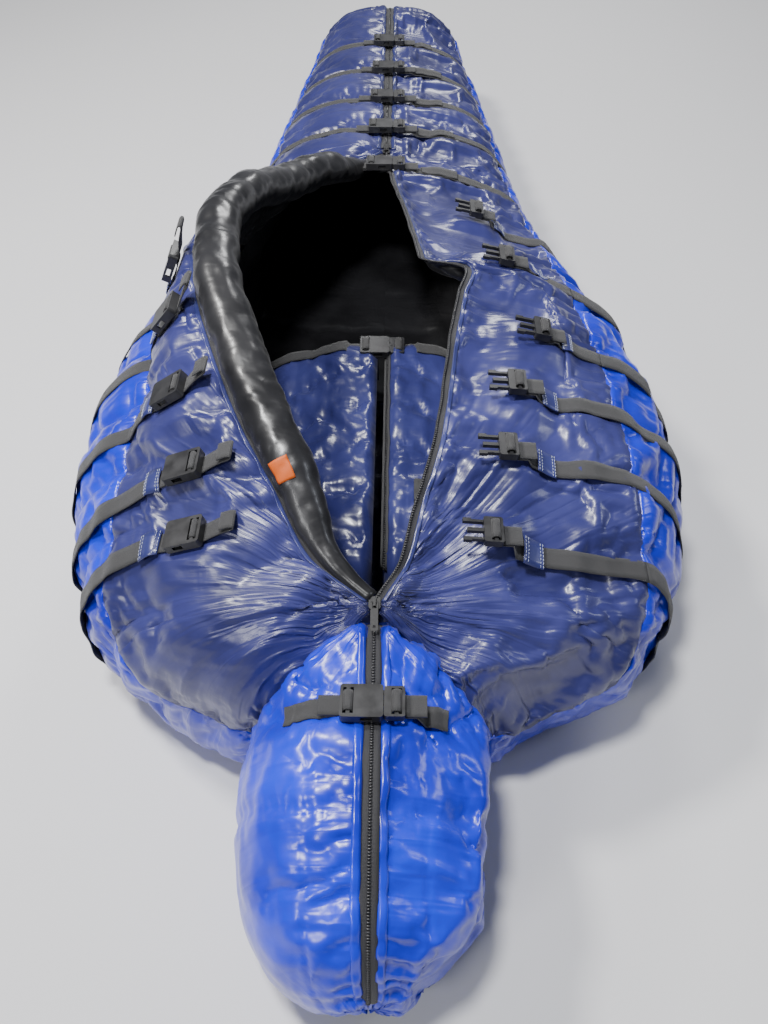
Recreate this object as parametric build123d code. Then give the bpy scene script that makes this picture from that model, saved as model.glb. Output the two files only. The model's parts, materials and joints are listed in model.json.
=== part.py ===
from build123d import *
import os
import math

# Mummy sleeping bag lying on its back, in millimetres. +Z is up, the foot is at +Y, the hood at
# -Y, and the origin is under the middle of the whole bag, on the ground.

# ---------------------------------------------------------------- driving dimensions
# Cross sections of the bag, from the foot to the neck: (y, half width, height)
BODY_STATIONS = [
    (1044, 180, 274), (880, 204, 270), (690, 228, 279), (480, 252, 293), (290, 272, 306),
    (120, 304, 326), (-40, 352, 350), (-190, 402, 376), (-340, 428, 394), (-490, 432, 398),
    (-625, 410, 380), (-740, 366, 326), (-800, 300, 298), (-848, 200, 284),
]
# Hood sections, from the neck to the crown: (y, half width, height)
HOOD_STATIONS = [
    (-852, 150, 282), (-910, 150, 284), (-970, 150, 280), (-1020, 147, 269), (-1062, 136, 248),
]
# Rounded ends: (y, half width, top, bottom)
CROWN_STATIONS = [
    (-1066, 134, 246, 3), (-1102, 116, 224, 14), (-1131, 84, 190, 40), (-1148, 36, 140, 84),
]
FOOT_STATIONS = [
    (1048, 179, 273, 3), (1088, 166, 264, 12), (1116, 134, 236, 36), (1132, 70, 186, 74),
]
WAIST = 0.42                 # height of the widest point over the height of a section
SIDE_POWER = 0.70            # squareness of a section towards its sides
TOP_POWER = 0.90             # squareness towards its top
BASE_POWER = 0.50            # squareness towards its base, which lies nearly flat
BACK_SHARE = 0.62            # half width of the flat back panel over that of the section
SEAM_SHARE = 0.86            # where the side panel meets the top panel, over the half width

CLOTH = 2.0                  # thickness of a shell or lining panel
CLEAR = 1.5                  # clearance between shell, fill and lining
LOFT = 42.0                  # thickness of the down between them
PINCH = 0.30                 # share of the loft left beside a seam
SEAM_GAP = 4.0               # half of the gap between two neighbouring panels
HINGE_GAP = 9.0              # half of the gap where a flap folds on its side panel
BACK_LOFT = 44.0             # thickness of the down under the sleeper
HOOD_LOFT = 32.0             # thickness of the down round the head
FLAP_LOFT = 36.0             # thickness of the down in the flaps
BACK_TOP = 2 * CLOTH + 2 * CLEAR + BACK_LOFT
SHOULDER_END = BODY_STATIONS[-1][0]
FOOT_START = BODY_STATIONS[0][0]
GAP_Y = 1.2                  # half of the gap between two panels that follow one another

FLAP_FOOT_Y = 120.0          # where the flaps meet the leg panels
FLAP_NECK_Y = -716.0         # where the flaps meet the shoulder panels
FLAP_FOOT_X = 262.0          # side fold of a flap at its foot end
FLAP_NECK_X = 338.0          # and at its neck end
FLAP_RISE = 26.0             # how far the fold line runs above the panels at its ends
FLAP_BULGE = 16.0            # crown of a flap between its fold and its free edge
SLIDER_Y = 290.0             # the leg slider: the zip is open from here to the neck
NECK_Y = -760.0              # the neck slider: the zip is closed from here over the hood
# Free edges of the two flaps as they lie open: (y, x, z)
LEFT_EDGE = [
    (120, -112, 344), (-40, -212, 404), (-190, -258, 450), (-340, -250, 466),
    (-460, -214, 454), (-570, -168, 426), (-645, -122, 388), (-716, -74, 338),
]
RIGHT_EDGE = [
    (120, 20, 340), (-40, 48, 368), (-190, 96, 404), (-252, 128, 418),
    (-400, 100, 410), (-565, 78, 390), (-645, 54, 362), (-716, 34, 330),
]
DRAFT_R = 32.0               # radius of the draft tube along the left flap's edge

WEBBING_WIDTH = 30.0
WEBBING = 1.6                # thickness of the webbing
LEG_ROWS = [857.0, 697.0, 537.0, 387.0, 215.0]
# Open straps: (y, place of the loose half across its flap from 0 at the fold to 1, clearance
# under the loose half, which is larger where the flap falls away along the bag)
LEFT_ROWS = [
    (-262, 0.60, 11), (-392, 0.60, 11), (-522, 0.52, 12), (-624, 0.52, 17), (-692, 0.45, 23),
]
RIGHT_ROWS = [
    (22, 0.62, 11), (-198, 0.72, 12), (-374, 0.58, 11), (-483, 0.74, 11), (-582, 0.77, 11),
    (-684, 0.77, 15),
]
HOOD_ROW = -878.0
HOOD_STRAP = 92.0            # from the middle to the sewn end of the hood's strap

BUCKLE_LENGTH = 72.0         # a closed side-release buckle, end to end
BUCKLE_WIDTH = 41.0
BUCKLE_DEPTH = 12.0
BUCKLE_WALL = 3.0
SOCKET_LENGTH = 48.0
PLUG_WIDTH = 38.0
PRONG_LENGTH = 24.0
SLOT_WIDTH = 3.6
SLOT_LENGTH = 32.0
SLOT_INSET = 3.5             # from the end of a half to its first slot
BAR_WIDTH = 4.4              # between the two slots
BAR_INSET = SLOT_INSET + SLOT_WIDTH + BAR_WIDTH / 2

TAPE_WIDTH = 13.0            # one zip tape, from its coil outwards
TAPE = 1.2
CROWN_LIFT = 7.0             # how far the zip stands off the crown
CROWN_MIDDLE = 130.0         # height of the middle of the crown's curve
ZIP_PAST_SLIDER = 6.0        # how far the closed zip runs on past its slider
LEG_ZIP_YS = [FOOT_START - 2, 880.0, 690.0, 480.0, SLIDER_Y - ZIP_PAST_SLIDER]
NECK_ZIP_END = -846.0        # where the zip passes from the shoulders to the hood
HOOD_ZIP_YS = [-856.0, -910.0, -970.0, -1020.0]
COIL_GAP = 3.2               # between the two coils, where a slider's post runs
COIL_WIDTH = 2.8
COIL_LOW, COIL_HIGH = -0.6, 2.6      # underside and top of a coil, from the tape's underside
SLIDER_LENGTH = 15.0
SLIDER_WIDTH = 14.0
SLIDER_PLATE = 1.6
SLIDER_PLAY = 0.8            # clearance between the coils and a slider's plates
PIN_R = 1.0                  # pin of a pull tab, inside the slider's arch
PULL_LENGTH = 34.0
PULL_WIDTH = 9.0

INNER_FOOT_Y = -150.0        # the inner bag's top edge towards the legs
INNER_NECK_Y = -668.0
INNER_LOFT = 30.0
INNER_REACH = 0.60           # half width of the inner bag over that of the section
INNER_LOW, INNER_RISE = 120.0, 105.0     # height of its sides, and how far its middle rises
INNER_SPREAD = {-1: 30.0, 1: 22.0}       # half width of its opening on each side
INNER_ROUNDNESS = 0.7

INNER_ROWS = [-205.0, -517.0]    # straps of the inner bag
INNER_STRAP_SKIP = 90.0      # from the inner bag's side to the start of its straps
INNER_STRAP_LIFT = 2.5
INNER_BUCKLE_SHARE = 0.86    # place of its open buckle across its right half
STRAP_LIFT = 4.0             # clearance under the webbing
STRAP_START = 12.0           # from the back panel to the start of the webbing
KEEPER_START, KEEPER_END = 150.0, 30.0   # from the back panel, and from the fold, to a keeper tab
BUCKLE_LIFT = 8.0            # clearance under a closed buckle
LOOP_END_Y = 1148.0          # end of the hang loop at the foot
LOOP_R = 8.4
LOOP_WIDTH = 18.0
LABEL_SPAN = (-640.0, -600.0)
CURVE_POINTS = 7             # points that shape one side of a section
FINE_POINTS = 41             # points of a curve that straps and buckles are laid on


# ---------------------------------------------------------------- section curves
def between(stations, y, column):
    """Value of one column of a station table at y, on a smooth curve through the stations."""
    rows = sorted(stations)
    y = min(max(y, rows[0][0]), rows[-1][0])
    i = max(k for k in range(len(rows) - 1) if rows[k][0] <= y)
    before, start, end, after = rows[max(i - 1, 0)], rows[i], rows[i + 1], rows[min(i + 2, len(rows) - 1)]
    span = end[0] - start[0]
    t = (y - start[0]) / span
    slope_a = (end[column] - before[column]) / (end[0] - before[0]) * span
    slope_b = (after[column] - start[column]) / (after[0] - start[0]) * span
    return (
        start[column] * (2 * t**3 - 3 * t**2 + 1) + slope_a * (t**3 - 2 * t**2 + t)
        + end[column] * (3 * t**2 - 2 * t**3) + slope_b * (t**3 - t**2)
    )


def section_point(half_width, top, base, angle):
    """Point of a section's outer curve; -90 degrees is the middle of its base, 90 of its top."""
    a = math.radians(angle)
    waist = base + WAIST * (top - base)
    x = half_width * abs(math.cos(a)) ** SIDE_POWER
    if a >= 0:
        return (x, waist + (top - waist) * math.sin(a) ** TOP_POWER)
    return (x, waist - (waist - base) * abs(math.sin(a)) ** BASE_POWER)


def share_angle(share):
    """Angle at which a section's curve is this share of its half width from the middle."""
    return math.degrees(math.acos(min(max(share, 0.0), 1.0) ** (1 / SIDE_POWER)))


def with_normals(points):
    """Add to each point (x, z) of a right-hand curve its unit normal, pointing inwards."""
    result = []
    for i, point in enumerate(points):
        a, b = points[max(i - 1, 0)], points[min(i + 1, len(points) - 1)]
        length = math.dist(a, b)
        result.append(point + (-(b[1] - a[1]) / length, (b[0] - a[0]) / length))
    return result


def curve_length(points):
    return sum(math.dist(p[:2], q[:2]) for p, q in zip(points, points[1:]))


def resample(points, skip_start, skip_end, count):
    """Evenly spaced points along a polyline, leaving out a length at each end."""
    lengths = [0.0]
    for p, q in zip(points, points[1:]):
        lengths.append(lengths[-1] + math.dist(p[:2], q[:2]))
    start, end = skip_start, lengths[-1] - skip_end
    result, k = [], 0
    for i in range(count):
        want = start + (end - start) * i / (count - 1)
        while k < len(lengths) - 2 and lengths[k + 1] < want:
            k += 1
        t = (want - lengths[k]) / (lengths[k + 1] - lengths[k])
        result.append(tuple(p + (q - p) * t for p, q in zip(points[k], points[k + 1])))
    return result


def body_curve(
    y, start, end, stations=BODY_STATIONS, skip=(SEAM_GAP, SEAM_GAP), count=CURVE_POINTS
):
    """Right-hand outer curve of the bag at y between two angles, from the base upwards."""
    width, top = between(stations, y, 1), between(stations, y, 2)
    points = [
        section_point(width, top, 0, start + (end - start) * i / 40) for i in range(41)
    ]
    return resample(with_normals(points), skip[0], skip[1], count)


def fold_x(y):
    """Where a flap folds on its side panel: a straight line seen from above."""
    share = (y - FLAP_FOOT_Y) / (FLAP_NECK_Y - FLAP_FOOT_Y)
    return FLAP_FOOT_X + (FLAP_NECK_X - FLAP_FOOT_X) * share


def seam_angle(y):
    """Angle of the seam between the side panel and the top panel."""
    if FLAP_NECK_Y - 1 <= y <= FLAP_FOOT_Y + 1:
        return share_angle(fold_x(y) / between(BODY_STATIONS, y, 1))
    return share_angle(SEAM_SHARE)


def edge_of(side):
    return LEFT_EDGE if side < 0 else RIGHT_EDGE


def flap_curve(y, side, count=CURVE_POINTS):
    """Outer curve of a flap at y, as if it were on the right, from its fold to its free edge."""
    width, top = between(BODY_STATIONS, y, 1), between(BODY_STATIONS, y, 2)
    fold = section_point(width, top, 0, seam_angle(y))
    edge = (side * between(edge_of(side), y, 1), between(edge_of(side), y, 2))
    run = (edge[0] - fold[0], edge[1] - fold[1])
    length = math.hypot(*run)
    outward = (-run[1] / length, run[0] / length)
    if outward[1] < 0:
        outward = (-outward[0], -outward[1])
    points = []
    for i in range(31):
        t = i / 30
        crown = FLAP_BULGE * math.sin(math.pi * t)
        points.append(tuple(fold[k] + run[k] * t + outward[k] * crown for k in (0, 1)))
    return resample(with_normals(points), HINGE_GAP, SEAM_GAP, count)


def zip_share(y, side):
    """How far the open zip's edge lies from the middle on the fixed top panels, over the width."""
    width = between(BODY_STATIONS, y, 1)
    if y >= FLAP_FOOT_Y:
        reach = max(SLIDER_Y - y, 0.0) / (SLIDER_Y - FLAP_FOOT_Y)
        edge = between(edge_of(side), FLAP_FOOT_Y, 1)
    else:
        reach = max(y - NECK_Y, 0.0) / (FLAP_NECK_Y - NECK_Y)
        edge = between(edge_of(side), FLAP_NECK_Y, 1)
    return (TAPE_WIDTH + 3 + abs(edge) * reach) / width


def upright_start(curve):
    """The same curve with its first normal straight up, beside the flat back panel."""
    x, z = curve[0][:2]
    return [(x, z, 0.0, 1.0)] + curve[1:]


# ---------------------------------------------------------------- padded panels
def loft_depth(i, count, thickness):
    """Depth of the down at a point across a panel: pinched beside the seams."""
    return thickness * (PINCH + (1 - PINCH) * math.sin(math.pi * i / (count - 1)) ** 0.6)


def layer_section(y, side, curve, near, far):
    """Closed wire in the plane of y between two depths under an outer curve."""
    count = len(curve)

    def at(i, depth):
        x, z, inward_x, inward_z = curve[i]
        return Vector(side * (x + inward_x * depth), y, z + inward_z * depth)

    outer = [at(i, near(i, count)) for i in range(count)]
    inner = [at(i, far(i, count)) for i in range(count - 1, -1, -1)]
    return Wire([
        Edge.make_spline(outer), Edge.make_line(outer[-1], inner[0]),
        Edge.make_spline(inner), Edge.make_line(inner[-1], outer[0]),
    ])


def layer(ys, side, curve_at, near, far):
    """Loft of one layer of a panel through sections at the given places along the bag."""
    wires = [layer_section(y, side, curve_at(y), near, far) for y in ys]
    return Solid.make_loft(wires, ruled=len(ys) == 2)


def shell_of(ys, side, curve_at):
    return layer(ys, side, curve_at, lambda i, n: 0.0, lambda i, n: CLOTH)


def fill_of(ys, side, curve_at, thickness=LOFT):
    skin = CLOTH + CLEAR
    return layer(ys, side, curve_at, lambda i, n: skin, lambda i, n: skin + loft_depth(i, n, thickness))


def lining_of(ys, side, curve_at, thickness=LOFT):
    skin = CLOTH + 2 * CLEAR
    return layer(
        ys, side, curve_at,
        lambda i, n: skin + loft_depth(i, n, thickness),
        lambda i, n: skin + CLOTH + loft_depth(i, n, thickness),
    )


def station_ys(start, end, stations=BODY_STATIONS):
    """Places to loft through from start to end: both of them and the stations between."""
    inside = [s[0] for s in stations if min(start, end) + 8 < s[0] < max(start, end) - 8]
    return sorted([start, end] + inside, reverse=True)


def side_curve(y, count=CURVE_POINTS):
    width_gap = HINGE_GAP if FLAP_NECK_Y - 1 <= y <= FLAP_FOOT_Y + 1 else SEAM_GAP
    return upright_start(
        body_curve(
            y, -share_angle(BACK_SHARE), seam_angle(y), skip=(SEAM_GAP, width_gap), count=count
        )
    )


def top_curve(side):
    return lambda y: body_curve(y, seam_angle(y), share_angle(zip_share(y, side)))


def hood_curve(y):
    gap = (TAPE_WIDTH + 3) / between(HOOD_STATIONS, y, 1)
    return upright_start(
        body_curve(y, -share_angle(BACK_SHARE), share_angle(gap), stations=HOOD_STATIONS)
    )


def back_layer(stations, start, end, low, high):
    """Flat layer of the back panel, whose outline follows the bag's."""
    ys = station_ys(start, end, stations)
    right = [Vector(BACK_SHARE * between(stations, y, 1) - SEAM_GAP, y, low) for y in ys]
    left = [Vector(-p.X, p.Y, low) for p in reversed(right)]
    outline = Wire([
        Edge.make_spline(right) if len(right) > 2 else Edge.make_line(*right),
        Edge.make_line(right[-1], left[0]),
        Edge.make_spline(left) if len(left) > 2 else Edge.make_line(*left),
        Edge.make_line(left[-1], right[0]),
    ])
    return extrude(Face(outline), amount=high - low, dir=(0, 0, 1))


def dome(stations, shrink, lead):
    """Rounded end of the bag, made smaller all round by shrink, starting lead before its base."""
    direction = 1 if stations[-1][0] > stations[0][0] else -1
    wires = []
    for i, (y, half_width, top, base) in enumerate(stations):
        share = i / (len(stations) - 1)
        points = []
        for angle in range(-90, 90, 20):
            x, z = section_point(half_width - shrink, top - shrink, base + shrink, angle)
            points.append((x, z))
        points.append(section_point(half_width - shrink, top - shrink, base + shrink, 90))
        ring = points + [(-x, z) for x, z in reversed(points[1:-1])]
        place = y - direction * (lead if i == 0 else shrink * share)
        wires.append(Wire([Edge.make_spline([Vector(x, place, z) for x, z in ring], periodic=True)]))
    return Solid.make_loft(wires, ruled=False)


# ---------------------------------------------------------------- body of the bag
def make_back(parts):
    fill_low = CLOTH + CLEAR
    spans = [(FOOT_START, FLAP_FOOT_Y + GAP_Y), (FLAP_FOOT_Y - GAP_Y, SHOULDER_END)]
    parts["back_shell"] = [back_layer(BODY_STATIONS, FOOT_START, SHOULDER_END, 0, CLOTH)]
    parts["back_fill"] = [
        back_layer(BODY_STATIONS, a, b, fill_low, fill_low + BACK_LOFT) for a, b in spans
    ]
    return [back_layer(BODY_STATIONS, FOOT_START, SHOULDER_END, BACK_TOP - CLOTH, BACK_TOP)]


def make_sides(parts):
    zones = [
        (FOOT_START, FLAP_FOOT_Y + 2 + GAP_Y),
        (FLAP_FOOT_Y, FLAP_NECK_Y),
        (FLAP_NECK_Y - 2 - GAP_Y, SHOULDER_END),
    ]
    fills, linings = [], []
    for side, name in ((-1, "left"), (1, "right")):
        parts[name + "_side_shell"] = [shell_of(station_ys(a, b), side, side_curve) for a, b in zones]
        fills += [fill_of(station_ys(a, b), side, side_curve) for a, b in zones]
        linings += [lining_of(station_ys(a, b), side, side_curve) for a, b in zones]
    parts["side_fill"] = fills
    return linings


def make_tops(parts):
    """Leg panels and shoulder panels: the fixed part of the top of the bag."""
    fills, linings = [], []
    zones = {
        "leg": (FOOT_START, FLAP_FOOT_Y + 2 + GAP_Y),
        "shoulder": (FLAP_NECK_Y - 2 - GAP_Y, SHOULDER_END),
    }
    for zone, (a, b) in zones.items():
        ys = station_ys(a, b)
        parts[zone + "_shell"] = [shell_of(ys, side, top_curve(side)) for side in (-1, 1)]
        fills += [fill_of(ys, side, top_curve(side)) for side in (-1, 1)]
        linings += [lining_of(ys, side, top_curve(side)) for side in (-1, 1)]
    parts["top_fill"] = fills
    return linings


def make_foot(parts):
    outer = dome(FOOT_STATIONS, 0, 0)
    parts["foot_shell"] = [outer - dome(FOOT_STATIONS, CLOTH, 5)]
    parts["foot_fill"] = [dome(FOOT_STATIONS, CLOTH + 2 * CLEAR, 0)]


def make_hood(parts):
    start, end = HOOD_STATIONS[0][0], HOOD_STATIONS[-1][0]
    ys = station_ys(start, end, HOOD_STATIONS)
    fills, linings = [], []
    parts["hood_side_shell"] = [shell_of(ys, side, hood_curve) for side in (-1, 1)]
    for side in (-1, 1):
        fills.append(fill_of(ys, side, hood_curve, HOOD_LOFT))
        linings.append(lining_of(ys, side, hood_curve, HOOD_LOFT))
    low = CLOTH + CLEAR
    parts["hood_back_shell"] = [back_layer(HOOD_STATIONS, start, end, 0, CLOTH)]
    fills.append(back_layer(HOOD_STATIONS, start, end, low, low + BACK_LOFT))
    linings.append(back_layer(HOOD_STATIONS, start, end, BACK_TOP - CLOTH, BACK_TOP))
    parts["hood_crown_shell"] = [dome(CROWN_STATIONS, 0, 0) - dome(CROWN_STATIONS, CLOTH, 5)]
    fills.append(dome(CROWN_STATIONS, CLOTH + 2 * CLEAR, 0))
    parts["hood_fill"] = fills
    return linings


def make_flaps(parts):
    ys = station_ys(FLAP_FOOT_Y - GAP_Y, FLAP_NECK_Y + GAP_Y)
    for side, name in ((-1, "left"), (1, "right")):
        curve_at = lambda y, side=side: flap_curve(y, side)
        parts[name + "_flap_shell"] = [shell_of(ys, side, curve_at)]
        parts[name + "_flap_fill"] = [fill_of(ys, side, curve_at, FLAP_LOFT)]
        parts[name + "_flap_lining"] = [lining_of(ys, side, curve_at, FLAP_LOFT)]
        parts[name + "_flap_zip"] = [
            layer(
                ys, side, lambda y, side=side: edge_strip(y, side),
                lambda i, n: -2 * CLEAR - TAPE, lambda i, n: -2 * CLEAR,
            )
        ]
    report_fold_lines()
    parts["draft_tube"] = [draft_tube(ys)]
    parts["label"] = [label()]


def report_fold_lines():
    """Print the line that each flap turns about, a little above the panels at its two ends."""
    ends = []
    for y in (FLAP_FOOT_Y, FLAP_NECK_Y):
        width, top = between(BODY_STATIONS, y, 1), between(BODY_STATIONS, y, 2)
        x, z = section_point(width, top, 0, seam_angle(y))
        ends.append(Vector(x, y, z + FLAP_RISE))
    foot, neck = ends
    for side, name in ((-1, "left"), (1, "right")):
        a, b = Vector(side * foot.X, foot.Y, foot.Z), Vector(side * neck.X, neck.Y, neck.Z)
        run = (b - a).normalized() * -side
        middle = (a + b) / 2
        place = [round(v / 1000, 5) for v in middle]
        print(name, "flap turns about", [round(v, 5) for v in run], "at", place)


def edge_strip(y, side):
    """The last stretch of a flap's outer curve, where its zip tape is sewn on."""
    curve = flap_curve(y, side)
    return resample(curve, curve_length(curve) - TAPE_WIDTH, 0, 3)


def tube_centre(y):
    """Middle of the draft tube: straight on from the left flap's free edge."""
    curve = flap_curve(y, -1)
    (x0, z0), (x1, z1) = curve[-2][:2], curve[-1][:2]
    length = math.dist((x0, z0), (x1, z1))
    reach = (DRAFT_R + 2 * CLEAR) / length
    return Vector(-(x1 + (x1 - x0) * reach), y, z1 + (z1 - z0) * reach)


def draft_tube(ys):
    """Padded tube along the left flap's free edge."""
    wires = [Wire.make_circle(DRAFT_R, Plane(origin=tube_centre(y), z_dir=(0, 1, 0))) for y in ys]
    return Solid.make_loft(wires, ruled=False)


def label():
    """Cloth label sewn round the top of the draft tube."""
    wires = []
    for y in LABEL_SPAN:
        centre = tube_centre(y)

        def arc(radius, angles, centre=centre):
            turns = [math.radians(a) for a in angles]
            return Edge.make_spline(
                [centre + Vector(radius * math.cos(a), 0, radius * math.sin(a)) for a in turns]
            )

        outer, inner = arc(DRAFT_R + 3.2, (25, 45, 65, 85)), arc(DRAFT_R + 2.2, (85, 65, 45, 25))
        wires.append(Wire([
            outer, Edge.make_line(outer @ 1, inner @ 0), inner, Edge.make_line(inner @ 1, outer @ 0),
        ]))
    return Solid.make_loft(wires, ruled=True)


# ---------------------------------------------------------------- inner bag
def inner_curve(side):
    """Upper curve of one half of the inner bag, from its side to its opening."""
    def curve(y):
        reach = INNER_REACH * between(BODY_STATIONS, y, 1)
        points = []
        for i in range(31):
            t = i / 30
            rise = INNER_RISE * math.sin(t * math.pi / 2) ** INNER_ROUNDNESS
            points.append((reach + (INNER_SPREAD[side] - reach) * t, INNER_LOW + rise))
        return resample(with_normals(points), 0, 0, CURVE_POINTS)
    return curve


def make_inner_bag(parts):
    ys = [INNER_FOOT_Y, -260.0, -390.0, -520.0, INNER_NECK_Y]
    for side, name in ((-1, "left"), (1, "right")):
        parts[f"inner_{name}_panel"] = [
            layer(
                ys, side, inner_curve(side), lambda i, n: 0.0,
                lambda i, n: loft_depth(i, n, INNER_LOFT),
            )
        ]
    parts["inner_back_panel"] = [
        back_layer(BODY_STATIONS, INNER_FOOT_Y, INNER_NECK_Y, BACK_TOP + CLEAR, BACK_TOP + CLEAR + 22)
    ]


# ---------------------------------------------------------------- buckles
def block(x0, x1, y0, y1, z0, z1):
    """Box between opposite corners."""
    return Pos((x0 + x1) / 2, (y0 + y1) / 2, (z0 + z1) / 2) * Box(x1 - x0, y1 - y0, z1 - z0)


def soften(part, radius):
    """Round the upright edges of a moulding."""
    return fillet(part.edges().filter_by(Axis.Z), radius)


SOCKET_BACK = -BUCKLE_LENGTH / 2
SOCKET_MOUTH = SOCKET_BACK + SOCKET_LENGTH
PLUG_END = BUCKLE_LENGTH / 2
HALF = BUCKLE_WIDTH / 2
CAVITY_HALF = HALF - BUCKLE_WALL


def webbing_slots(inner_x, direction):
    """Two slots across a buckle part that leave a bar between them."""
    slots = []
    for k in range(2):
        x = inner_x + direction * k * (SLOT_WIDTH + BAR_WIDTH)
        slots.append(
            block(min(x, x + direction * SLOT_WIDTH), max(x, x + direction * SLOT_WIDTH),
                  -SLOT_LENGTH / 2, SLOT_LENGTH / 2, -1, BUCKLE_DEPTH + 1)
        )
    return slots


def buckle_socket():
    """Female half: a flat case with a mouth, two side windows and a bar for the webbing."""
    case = soften(block(SOCKET_BACK, SOCKET_MOUTH, -HALF, HALF, 0, BUCKLE_DEPTH), 4)
    low, high = BUCKLE_WALL, BUCKLE_DEPTH - BUCKLE_WALL
    cavity = block(SOCKET_MOUTH - PRONG_LENGTH - 2, SOCKET_MOUTH + 1, -CAVITY_HALF, CAVITY_HALF, low, high)
    window_x = SOCKET_MOUTH - PRONG_LENGTH - 1
    windows = block(window_x, window_x + 13, -HALF - 1, HALF + 1, low, high)
    case = case - cavity - windows
    for slot in webbing_slots(SOCKET_BACK + SLOT_INSET, 1):
        case = case - slot
    return case


def buckle_plug():
    """Male half: a frame with a bar for the webbing, two sprung prongs and a guide between them."""
    root = SOCKET_MOUTH + 0.6
    wide = PLUG_WIDTH / 2
    plug = soften(block(root, PLUG_END, -wide, wide, 1, BUCKLE_DEPTH - 1), 3)
    for slot in webbing_slots(PLUG_END - SLOT_INSET, -1):
        plug = plug - slot
    low, high = BUCKLE_WALL + 0.5, BUCKLE_DEPTH - BUCKLE_WALL - 0.5
    tip = SOCKET_MOUTH - PRONG_LENGTH
    prong_out = CAVITY_HALF - 2.6
    for side in (-1, 1):
        arm = sorted((side * (prong_out - 3.6), side * prong_out))
        head = sorted((side * (prong_out - 3.6), side * (CAVITY_HALF - 0.6)))
        plug = plug + block(tip + 6, root + 1, arm[0], arm[1], low, high)
        plug = plug + block(tip, tip + 10, head[0], head[1], low, high)
    return plug + block(tip + 5, root + 1, -2.6, 2.6, low, high)


def on_surface(shape, point, along, up):
    """Place a buckle part: its long axis runs along the given direction, its base faces down."""
    return Plane(origin=point, x_dir=along, z_dir=up).location * shape


# ---------------------------------------------------------------- straps
def strap(y, side, curve_at, lift=STRAP_LIFT, thickness=WEBBING, width=WEBBING_WIDTH):
    """Webbing, or a cloth tab over it, lying across the shell at one row."""
    ys = [y + width / 2, y - width / 2]
    return layer(ys, side, curve_at, lambda i, n: -lift - thickness, lambda i, n: -lift)


def keeper(y, side, curve_at):
    """Cloth tab sewn down over the webbing."""
    return strap(y, side, curve_at, STRAP_LIFT + WEBBING + 4 * CLEAR, 0.9, WEBBING_WIDTH + 16)


def surface_frame(y, side, curve, along_share, lift):
    """A seat on the shell: its point, the direction up the curve, and the outward normal."""
    x, z, inward_x, inward_z = resample(curve, 0, 0, 101)[round(100 * along_share)]
    length = math.hypot(inward_x, inward_z)
    along = Vector(side * inward_z, 0, -inward_x) / length
    up = Vector(-side * inward_x, 0, -inward_z) / length
    return Vector(side * x, y, z) + up * lift, along, up


def top_slope(stations, y):
    """Upward normal of the bag's ridge at y."""
    rise = (between(stations, y + 10, 2) - between(stations, y - 10, 2)) / 20
    return Vector(0, -rise, 1).normalized()


def closed_strap(y, stations, low_angle):
    """Two webbings up to a closed buckle on the ridge, and the seat of that buckle."""
    width, top = between(stations, y, 1), between(stations, y, 2)
    end = share_angle((BUCKLE_LENGTH / 2 - 11) / width)
    webbing = [
        strap(y, side, lambda yy: body_curve(yy, low_angle, end, stations, skip=(6, 0)))
        for side in (-1, 1)
    ]
    return webbing, Vector(0, y, top + BUCKLE_LIFT), top_slope(stations, y)


def make_closed_straps(parts):
    """Closed straps over the legs and the hood: webbing, sockets and plugs."""
    webbing, sockets = [], []
    for k, y in enumerate(LEG_ROWS):
        straps, seat, up = closed_strap(y, BODY_STATIONS, -share_angle(BACK_SHARE))
        webbing += straps
        sockets.append(on_surface(buckle_socket(), seat, (1, 0, 0), up))
        parts[f"leg_plug_{k + 1}"] = [on_surface(buckle_plug(), seat, (1, 0, 0), up)]
    parts["leg_sockets"] = sockets
    sewn_end = share_angle(HOOD_STRAP / between(HOOD_STATIONS, HOOD_ROW, 1))
    straps, seat, up = closed_strap(HOOD_ROW, HOOD_STATIONS, sewn_end)
    parts["hood_socket"] = [on_surface(buckle_socket(), seat, (1, 0, 0), up)]
    parts["hood_plug"] = [on_surface(buckle_plug(), seat, (1, 0, 0), up)]
    return webbing + straps


def make_torso_straps(parts):
    """Open straps: webbing up both sides, then over the flaps to the loose buckle halves."""
    side_webbing, keepers = [], []
    for side, name, rows, reach in ((-1, "left", LEFT_ROWS, 28), (1, "right", RIGHT_ROWS, -22)):
        def up_side(y):
            return resample(side_curve(y, FINE_POINTS), STRAP_START, 4, CURVE_POINTS)

        def up_to_fold(y):
            return resample(side_curve(y, FINE_POINTS), KEEPER_START, KEEPER_END, CURVE_POINTS)

        over_flap = []
        for y, share, _ in rows:
            def over_fold(yy, share=share):
                curve = flap_curve(yy, side, FINE_POINTS)
                free_end = curve_length(curve) * (1 - share) - reach
                return resample(curve, 2, max(free_end, 4), CURVE_POINTS)

            side_webbing.append(strap(y, side, up_side))
            over_flap.append(strap(y, side, over_fold))
            keepers.append(keeper(y, side, up_to_fold))
        parts[name + "_flap_webbing"] = over_flap
    parts["keeper_tabs"] = keepers
    return side_webbing


def make_torso_buckles(parts):
    """Loose halves of the open straps, lying on the flaps, and where their webbing turns."""
    halves = (
        (-1, LEFT_ROWS, "torso_socket", buckle_socket, SOCKET_BACK + BAR_INSET),
        (1, RIGHT_ROWS, "torso_plug", buckle_plug, PLUG_END - BAR_INSET),
    )
    for side, rows, name, build, bar in halves:
        for k, (y, share, lift) in enumerate(rows):
            curve = flap_curve(y, side, FINE_POINTS)
            point, along, up = surface_frame(y, side, curve, share, lift)
            parts[f"{name}_{k + 1}"] = [on_surface(build(), point, -along, up)]
            report_pivot(f"{name}_{k + 1}", point - along * bar, up)


def report_pivot(name, foot, up):
    pivot = foot + up * (BUCKLE_DEPTH / 2)
    print(name, "turns about Y at", [round(v / 1000, 4) for v in pivot])


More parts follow.
